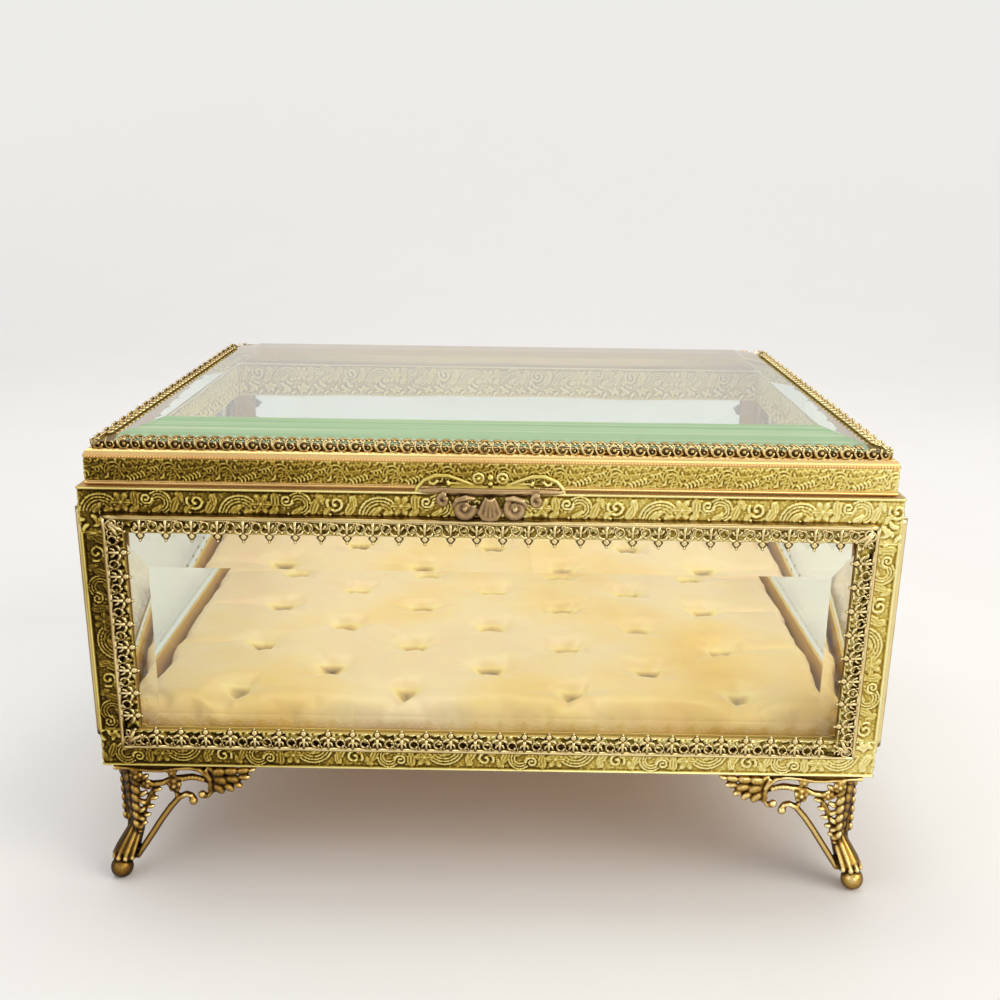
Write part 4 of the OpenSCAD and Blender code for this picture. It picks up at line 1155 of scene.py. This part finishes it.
# The toe stands on a small flat
bmesh.ops.bisect_plane(foot_bm, geom=foot_bm.verts[:] + foot_bm.edges[:] + foot_bm.faces[:],
                       plane_co=(0, 0, 0), plane_no=(0, 0, -1), clear_outer=True)
bmesh.ops.holes_fill(foot_bm, edges=[e for e in foot_bm.edges if e.is_boundary])
foot_mesh = unit_mesh(foot_bm, "cast_foot")
for corner, name in enumerate(CORNERS):
    bm = bmesh.new()
    bm.from_mesh(foot_mesh)
    half = (span(corner) / 2, reach(corner))
    matrix = (Matrix.Scale(MM, 4) @ Matrix.Rotation(math.radians(90 * corner), 4, "Z")
              @ Matrix.Translation((-half[0], -half[1], 0)))
    piece = place(bm, f"casting_foot_{name}", matrix, cast, "cast_brass", "casket", [f"foot_{name}"])
    mark_hollows(piece, depth=0.14, rounds=8, middle=0.56, gain=0.5)
print("feet: 4, faces each", len(foot_mesh.polygons))

# %% [markdown]
# ## Thumb lift
#
# A finger catches under this casting to raise the lid. Two wings with a leaf in each lie on
# the lid's band and are still gilt. From the ridge between them two volutes and a ribbed shell
# hang in front of the rail, and these have gone brown. Both halves are drawn like the feet,
# and each is melted into one piece.

# %% Drawing the thumb lift
WINGS_OUT, LOBES_OUT = 0.9, 1.0  # how far the wings clear the lid, and the lobes the gallery
LIFT_Y = -(BODY_D / 2 - LID_INSET) - WINGS_OUT
HANG_Y = -(BODY_D / 2 + GALLERY_OUT + LOBES_OUT)


def lift_wing(bm, s):
    """The gilt wing on one side, s = -1 or 1."""
    y = LIFT_Y
    rod(bm, [(s * 2.8, y, 1.2), (s * 6.6, y - 0.1, 2.7), (s * 10.0, y - 0.1, 3.9), (s * 13.2, y - 0.1, 4.0),
             (s * 16.0, y - 0.1, 2.8), (s * 17.6, y - 0.2, 1.0), (s * 18.0, y - 0.4, -0.4)],
        [0.45, 0.5, 0.55, 0.6, 0.6, 0.6, 0.5], 8)
    rod(bm, [(s * 3.4, y - 0.2, 0.9), (s * 7.0, y - 0.2, 2.0), (s * 9.6, y - 0.2, 2.2)], [0.3, 0.35, 0.4], 6)
    rod(bm, [(s * 12.6, y - 0.3, 2.9), (s * 13.6, y - 0.4, 1.9), (s * 14.8, y - 0.3, 2.2)],
        [0.5, 0.6, 0.45], 6)
    rod(bm, [(s * 10.4, y - 0.3, 2.9), (s * 10.0, y - 0.4, 1.6)], [0.5, 0.6], 6)
    # Loop beside the middle bead
    rod(bm, spiral((s * 2.9, y - 0.2, 3.4), 1.25, 90, 360, 12, 1.0), 0.42, 6)
    bead(bm, (s * 2.9, y - 0.3, 3.3), 0.6)


def lift_lobes(bm, s):
    """The ridge and the volutes on one side."""
    h = HANG_Y
    # Ridge that carries the lobes outwards
    rod(bm, [(0, h + 1.6, 0.5), (s * 6, h + 1.7, 0.5), (s * 11.5, h + 2.2, 0.6),
             (s * 17.4, LIFT_Y - 0.4, 0.2)], [1.0, 1.0, 0.9, 0.7], 8)
    # Small curl further out, then the large lobe: a fat volute with a leaf on its shoulder
    rod(bm, spiral((s * 11.2, h + 0.9, -1.4), 1.5, 60, 400, 12, 0.4), 0.75, 7)
    rod(bm, spiral((s * 6.2, h - 0.1, -3.0), 2.5, 130 if s > 0 else 20, 470 * s, 20, 0.22),
        [0.85 + 0.2 * math.sin(i * 0.3) for i in range(21)], 8)
    bead(bm, (s * 6.0, h - 0.5, -3.1), 0.85)
    rod(bm, [(s * 3.6, h - 0.3, -0.6), (s * 5.6, h - 0.7, -0.3), (s * 8.0, h - 0.5, -1.0),
             (s * 9.0, h - 0.2, -2.6)], [0.5, 0.8, 0.8, 0.4], 7)


print("the lift hangs", round(-HANG_Y - BODY_D / 2, 2), "mm in front of the rail")

# %% Casting the thumb lift
wings = bmesh.new()
lobes = bmesh.new()
for s in (-1, 1):
    lift_wing(wings, s)
    lift_lobes(lobes, s)
bead(wings, (0, LIFT_Y - 0.2, 3.6), 0.95)
bead(wings, (0, LIFT_Y - 0.3, 2.0), 0.8)
rod(wings, [(-12, LIFT_Y, 0.9), (0, LIFT_Y, 0.9), (12, LIFT_Y, 0.9)], [0.7, 0.9, 0.7], 8)
# The middle lobe is a ribbed shell that narrows to the ridge
half_rim = [(-0.6, -0.4), (-1.5, -2.0), (-2.4, -4.2), (-1.5, -5.3)]
shell_rim = half_rim + [(0, -5.6)] + [(-x, z) for x, z in reversed(half_rim)]
rod(lobes, [(x, HANG_Y - 0.3, z) for x, z in shell_rim], 0.8, 8)
for x in (-1.1, 0.1, 1.2):
    rod(lobes, [(x * 0.2, HANG_Y - 0.8, -0.5), (x * 0.7, HANG_Y - 0.9, -2.6), (x, HANG_Y - 0.6, -5.0)],
        [0.7, 0.5, 0.55], 7)
under_lid = Matrix.Scale(MM, 4) @ Matrix.Translation((0, 0, BODY_TOP))
gilt = place(melted(wings, "thumb_lift_gilt", LIFT_VOXEL), "casting_lift_wings", under_lid,
             stamped, "cast_brass", "lid")
mark_hollows(gilt, depth=0.2, rounds=6, middle=0.42, gain=0.5)
lift = place(melted(lobes, "thumb_lift_cast", LIFT_VOXEL), "casting_thumb_lift", under_lid,
             browned, "cast_brass", "lid", ["thumb_lift"])
mark_hollows(lift, depth=0.2, rounds=6, middle=0.44, gain=0.5)
print("thumb lift faces:", len(lift.data.polygons))

# %% [markdown]
# ## The tufted pad
#
# A thin filled pad is covered in satin and sewn down to its board in a staggered grid, so the
# cloth swells between the stitches and gathers in short folds that run from one to the next.
# The cover starts as a low pillow with its stitches pulled down, and a cloth simulation under
# a little air pressure then rounds it and lets the spare cloth crease. The simulation works
# at ten times the size, because cloth this small moves less than the solver's own limits.

# %% The pad before its cover is tensioned
pad_low, pad_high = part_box("tufted_pad")
PAD_X, PAD_Y = (pad_high.x - pad_low.x) / 2 / MM, (pad_high.y - pad_low.y) / 2 / MM
PAD_Z, CREST = pad_low.z / MM, (pad_high.z - pad_low.z) / MM
TUFT_DX, TUFT_DY, TUFT_DEPTH = 22.4, 14.8, 3.4
NEXT_STITCH = 26.8  # from a stitch to the next one, on the slant
EDGE_ROUND = 7.0
GRID_X, GRID_Y = 116, 86
COVER_IN, RIM_UP = 2.0, 0.45 * CREST
tufts = []
for row in range(-5, 6):
    shift = 0.5 if row % 2 == 0 else 0.0
    for col in range(-3, 3):
        x, y = 2 * TUFT_DX * (col + shift), row * TUFT_DY
        if abs(x) < PAD_X - 8 and abs(y) < PAD_Y - 6:
            tufts.append((x, y))
tufts = np.array(tufts)
print("tufts:", len(tufts))


def pad_height(x, y):
    """How high the cover stands before the simulation, in millimetres above the board."""
    gap = np.hypot(x[:, None] - tufts[None, :, 0], y[:, None] - tufts[None, :, 1])
    near = np.sort(gap, axis=1)[:, :2]
    dip = np.exp(-(near[:, 0] / 2.7) ** 2)
    # Short pleats stand round each stitch
    nearest = tufts[gap.argmin(axis=1)]
    angle = np.arctan2(y - nearest[:, 1], x - nearest[:, 0])
    pleat = np.cos(7 * angle + nearest[:, 0]) * np.exp(-((near[:, 0] - 3.4) / 2.2) ** 2)
    # A fold runs between two neighbouring stitches, where both are about as far away
    fold = np.exp(-((near[:, 1] + near[:, 0] - NEXT_STITCH) / 1.6) ** 2) * np.exp(-(near[:, 0] / 14) ** 2)
    # and a longer one runs along each row
    row = np.exp(-((y - nearest[:, 1]) / 2.2) ** 2 - (np.abs(x - nearest[:, 0]) / 11) ** 2)
    edge = np.minimum((PAD_X - np.abs(x)) / EDGE_ROUND, (PAD_Y - np.abs(y)) / EDGE_ROUND)
    crown = np.sqrt(np.clip(1 - (1 - np.clip(edge, 0, 1)) ** 2, 0, 1))
    return (0.35 + 0.65 * crown) * (
        CREST - 1.2 - TUFT_DEPTH * dip - 0.4 * fold - 0.9 * row + 0.14 * pleat)


print("a tuft is drawn", TUFT_DEPTH, "mm down from a crest of", round(CREST, 1), "mm")

# %% Sewing the cover together
bm = bmesh.new()
bmesh.ops.create_grid(bm, x_segments=GRID_X, y_segments=GRID_Y, size=0.5)
flat = np.array([v.co[:2] for v in bm.verts]) * (2 * PAD_X - COVER_IN, 2 * PAD_Y - COVER_IN)
for v, (x, y), z in zip(bm.verts, flat, pad_height(flat[:, 0], flat[:, 1])):
    v.co = (x, y, PAD_Z + z)
rim = [e for e in bm.edges if e.is_boundary]
HALF_DOWN, AT_BOARD = 0.5, 0.02
for level in (HALF_DOWN, AT_BOARD):
    grown = bmesh.ops.extrude_edge_only(bm, edges=rim)["geom"]
    for v in (g for g in grown if isinstance(g, bmesh.types.BMVert)):
        v.co.z = PAD_Z + RIM_UP * level
    rim = [e for e in bm.edges if e.is_boundary]
# The underside is one more grid, joined to the rim point by point
under = bmesh.ops.create_grid(bm, x_segments=GRID_X, y_segments=GRID_Y, size=0.5)["verts"]
for v in under:
    v.co = (v.co.x * (2 * PAD_X - COVER_IN), v.co.y * (2 * PAD_Y - COVER_IN), PAD_Z + RIM_UP * AT_BOARD)
bmesh.ops.remove_doubles(bm, verts=bm.verts, dist=0.01)
bmesh.ops.recalc_face_normals(bm, faces=bm.faces)


def in_order(item):
    """A number for the place of a point, an edge or a face, along x and then along y."""
    corners = [item] if isinstance(item, bmesh.types.BMVert) else item.verts
    middle = sum((v.co for v in corners), Vector()) / len(corners)
    return 1e6 * round(middle.x, 2) + 1e3 * round(middle.y, 2) + middle.z


# Extruding and merging don't leave everything in the same order each run, and the cloth
# simulation would then end a little differently
for items in (bm.verts, bm.edges, bm.faces):
    items.sort(key=in_order)
cover_mesh = bpy.data.meshes.new("satin_cover")
bm.to_mesh(cover_mesh)
bm.free()
print("cover faces before the simulation:", len(cover_mesh.polygons))

# %% Tension the cover
SIM_SCALE = 0.01
MOMENTS, FURTHEST = 20, 1.2
STITCH_R, TURNED_DOWN = 1.3, 1.0  # points this near a stitch or the board are held
start_points = np.array([v.co for v in cover_mesh.vertices])
from_stitch = start_points[:, None, :2] - tufts[None, :, :]
gap = np.hypot(from_stitch[..., 0], from_stitch[..., 1])
cover_mesh.transform(Matrix.Scale(SIM_SCALE, 4))
cover = bpy.data.objects.new("satin_cover", cover_mesh)
scene.collection.objects.link(cover)
held = cover.vertex_groups.new(name="sewn")
sewn = [i for i, (p, g) in enumerate(zip(start_points, gap.min(axis=1)))
        if g < STITCH_R or p[2] < PAD_Z + TURNED_DOWN]
held.add(sewn, 1.0, "REPLACE")
cloth = cover.modifiers.new("cloth", "CLOTH")
cloth.settings.quality = 6
cloth.settings.mass = 0.2
cloth.settings.tension_stiffness = cloth.settings.compression_stiffness = 12
cloth.settings.bending_stiffness = 0.15
cloth.settings.shrink_min = -0.07
cloth.settings.use_pressure = True
cloth.settings.uniform_pressure_force = 1.2
cloth.settings.vertex_group_mass = "sewn"
cloth.settings.pin_stiffness = 1.0
cloth.settings.effector_weights.gravity = 0.0
cloth.collision_settings.use_collision = False
cloth.collision_settings.use_self_collision = False
for moment in range(1, MOMENTS + 1):
    scene.frame_set(moment)
settled = cover.evaluated_get(bpy.context.evaluated_depsgraph_get())
moved = np.array([v.co for v in settled.to_mesh().vertices]) / SIM_SCALE
settled.to_mesh_clear()
bpy.data.objects.remove(cover)
scene.frame_set(1)
travel = moved - start_points
length = np.linalg.norm(travel, axis=1, keepdims=True)
end_points = start_points + travel * np.minimum(1, FURTHEST / np.maximum(length, 1e-6))
print("cloth moved", round(float(length.max()), 2), "mm at most, before the cap of", FURTHEST, "mm")

# %% The finished pad
end_points[:, 0] = np.clip(end_points[:, 0], -PAD_X, PAD_X)
end_points[:, 1] = np.clip(end_points[:, 1], -PAD_Y, PAD_Y)
end_points[:, 2] = np.clip(end_points[:, 2], PAD_Z + 0.02, PAD_Z + CREST + 0.8)
cover_mesh.vertices.foreach_set("co", (end_points * MM).ravel())
cover_mesh.polygons.foreach_set("use_smooth", [True] * len(cover_mesh.polygons))
cover_mesh.update()
# The attribute tuck is 1 in the fold at a stitch, which runs a little way along its row. It is set 1.1 mm
# behind the stitch, and the satin paints its painted glow and painted shadow by it
fold = np.exp(-((from_stitch[..., 1] - 1.1) / 1.2) ** 2 - (np.abs(from_stitch[..., 0]) / 4.0) ** 1.5)
tucked = (0.35 * np.exp(-(gap / 3.6) ** 2) + 0.65 * fold).max(axis=1)
tuck = cover_mesh.attributes.new("tuck", "FLOAT", "POINT")
tuck.data.foreach_set("value", tucked.astype(np.float32))
pad = bpy.data.objects.new("satin_pad", cover_mesh)
scene.collection.objects.link(pad)
cover_mesh.materials.append(satin)
soften = pad.modifiers.new("soften", "SUBSURF")
soften.levels = soften.render_levels = 1
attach(pad, "casket")
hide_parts("tufted_pad")
print("pad stands", round(float(end_points[:, 2].max() - PAD_Z), 1), "mm above its board")

# %% [markdown]
# ## Floor and light
#
# The box stands on a plain pale sweep, a floor that bends up behind it and fades into the
# room. The camera, glossy and transmission rays see a white room, so brass and glass have
# something bright to mirror and bend, while the light that falls on the object comes from a
# dim even sky and four soft lamps.

# %% Floor
def seen_directly(tree):
    """1 for rays that the camera, a mirror or a pane sends, 0 for those that carry light."""
    rays = add(tree, "ShaderNodeLightPath")
    seen = add(tree, "ShaderNodeMath", {
        0: rays.outputs["Is Camera Ray"], 1: rays.outputs["Is Glossy Ray"]}, operation="MAXIMUM")
    return add(tree, "ShaderNodeMath", {
        0: seen.outputs[0], 1: rays.outputs["Is Transmission Ray"]}, operation="MAXIMUM").outputs[0]


ROOM = linear("#f2f1ee")
floor_material, tree = new_material("pale_floor")
where = add(tree, "ShaderNodeTexCoord").outputs["Object"]
mottle = add(tree, "ShaderNodeTexNoise", {"Vector": where, "Scale": 12.0, "Detail": 3.0})
colour = ramp(tree, mottle.outputs["Fac"], ((0.0, "#efece8"), (1.0, "#f3f1ee")))
shader = add(tree, "ShaderNodeBsdfPrincipled", {"Base Color": colour, "Roughness": 0.7})
# Far from the box the floor fades into the room, so that no edge shows from any side
away = add(tree, "ShaderNodeVectorMath", {0: where}, operation="LENGTH")
fade = add(tree, "ShaderNodeMapRange", {"Value": away.outputs["Value"], "From Min": 0.5, "From Max": 1.6},
           interpolation_type="SMOOTHSTEP")
fade = add(tree, "ShaderNodeMath", {0: fade.outputs["Result"], 1: seen_directly(tree)}, operation="MULTIPLY")
far = add(tree, "ShaderNodeEmission", {"Color": ROOM, "Strength": 0.95})
finish_material(tree, add(tree, "ShaderNodeMixShader", {
    "Fac": fade.outputs[0], 1: shader.outputs[0], 2: far.outputs[0]}))
bm = bmesh.new()
bmesh.ops.create_grid(bm, x_segments=4, y_segments=60, size=0.5)
BEND_AT, BEND_R = 0.7, 0.9
FLOOR_FRONT, FLOOR_LENGTH, FLOOR_WIDTH = -2.4, 5.6, 7
for v in bm.verts:
    run = FLOOR_FRONT + FLOOR_LENGTH * (v.co.y + 0.5)
    turn = min(max((run - BEND_AT) / BEND_R, 0), math.pi / 2)
    rest = max(run - BEND_AT - BEND_R * math.pi / 2, 0)
    v.co = (v.co.x * FLOOR_WIDTH, min(run, BEND_AT) + BEND_R * math.sin(turn),
            BEND_R * (1 - math.cos(turn)) + rest)
mesh = bpy.data.meshes.new("floor")
bm.to_mesh(mesh)
bm.free()
mesh.polygons.foreach_set("use_smooth", [True] * len(mesh.polygons))
mesh.materials.append(floor_material)
floor = bpy.data.objects.new("floor", mesh)
scene.collection.objects.link(floor)
print("the floor bends up", BEND_AT, "m behind the box")

# %% Sky and lamps
world = bpy.data.worlds.new("room")
world.use_nodes = True
scene.world = world
tree = world.node_tree
tree.nodes.clear()
sky = add(tree, "ShaderNodeBackground", {"Color": linear("#f4f6fa"), "Strength": 0.55})
room = add(tree, "ShaderNodeBackground", {"Color": ROOM, "Strength": 0.95})
both = add(tree, "ShaderNodeMixShader", {"Fac": seen_directly(tree), 1: sky.outputs[0], 2: room.outputs[0]})
add(tree, "ShaderNodeOutputWorld", {"Surface": both.outputs[0]})
LAMPS_LOOK_AT = (0, 0, 60)


def soft_lamp(name, place_mm, size_mm, watts, colour):
    """A soft box that looks at the middle of the casket."""
    lamp = bpy.data.lights.new(name, "AREA")
    lamp.shape, lamp.size, lamp.size_y = "RECTANGLE", size_mm[0] * MM, size_mm[1] * MM
    lamp.energy, lamp.color = watts, linear(colour)[:3]
    lit = bpy.data.objects.new(name, lamp)
    at = Vector(place_mm) * MM
    aim = (Vector(LAMPS_LOOK_AT) * MM - at).to_track_quat("-Z", "Y").to_matrix().to_4x4()
    lit.matrix_world = Matrix.Translation(at) @ aim
    scene.collection.objects.link(lit)


soft_lamp("window_right", (1100, -560, 900), (900, 900), 9.0, "#fffaf0")
soft_lamp("overhead", (-120, 300, 1400), (1400, 1000), 9.0, "#ffffff")
soft_lamp("fill_left", (-1100, -900, 560), (1000, 800), 2.2, "#f2f4ff")
soft_lamp("fill_front", (500, -1300, 450), (1000, 500), 2.0, "#fff6ea")
print("lamps: 4")

# %% [markdown]
#

# %% Finish
print("the scene is complete")
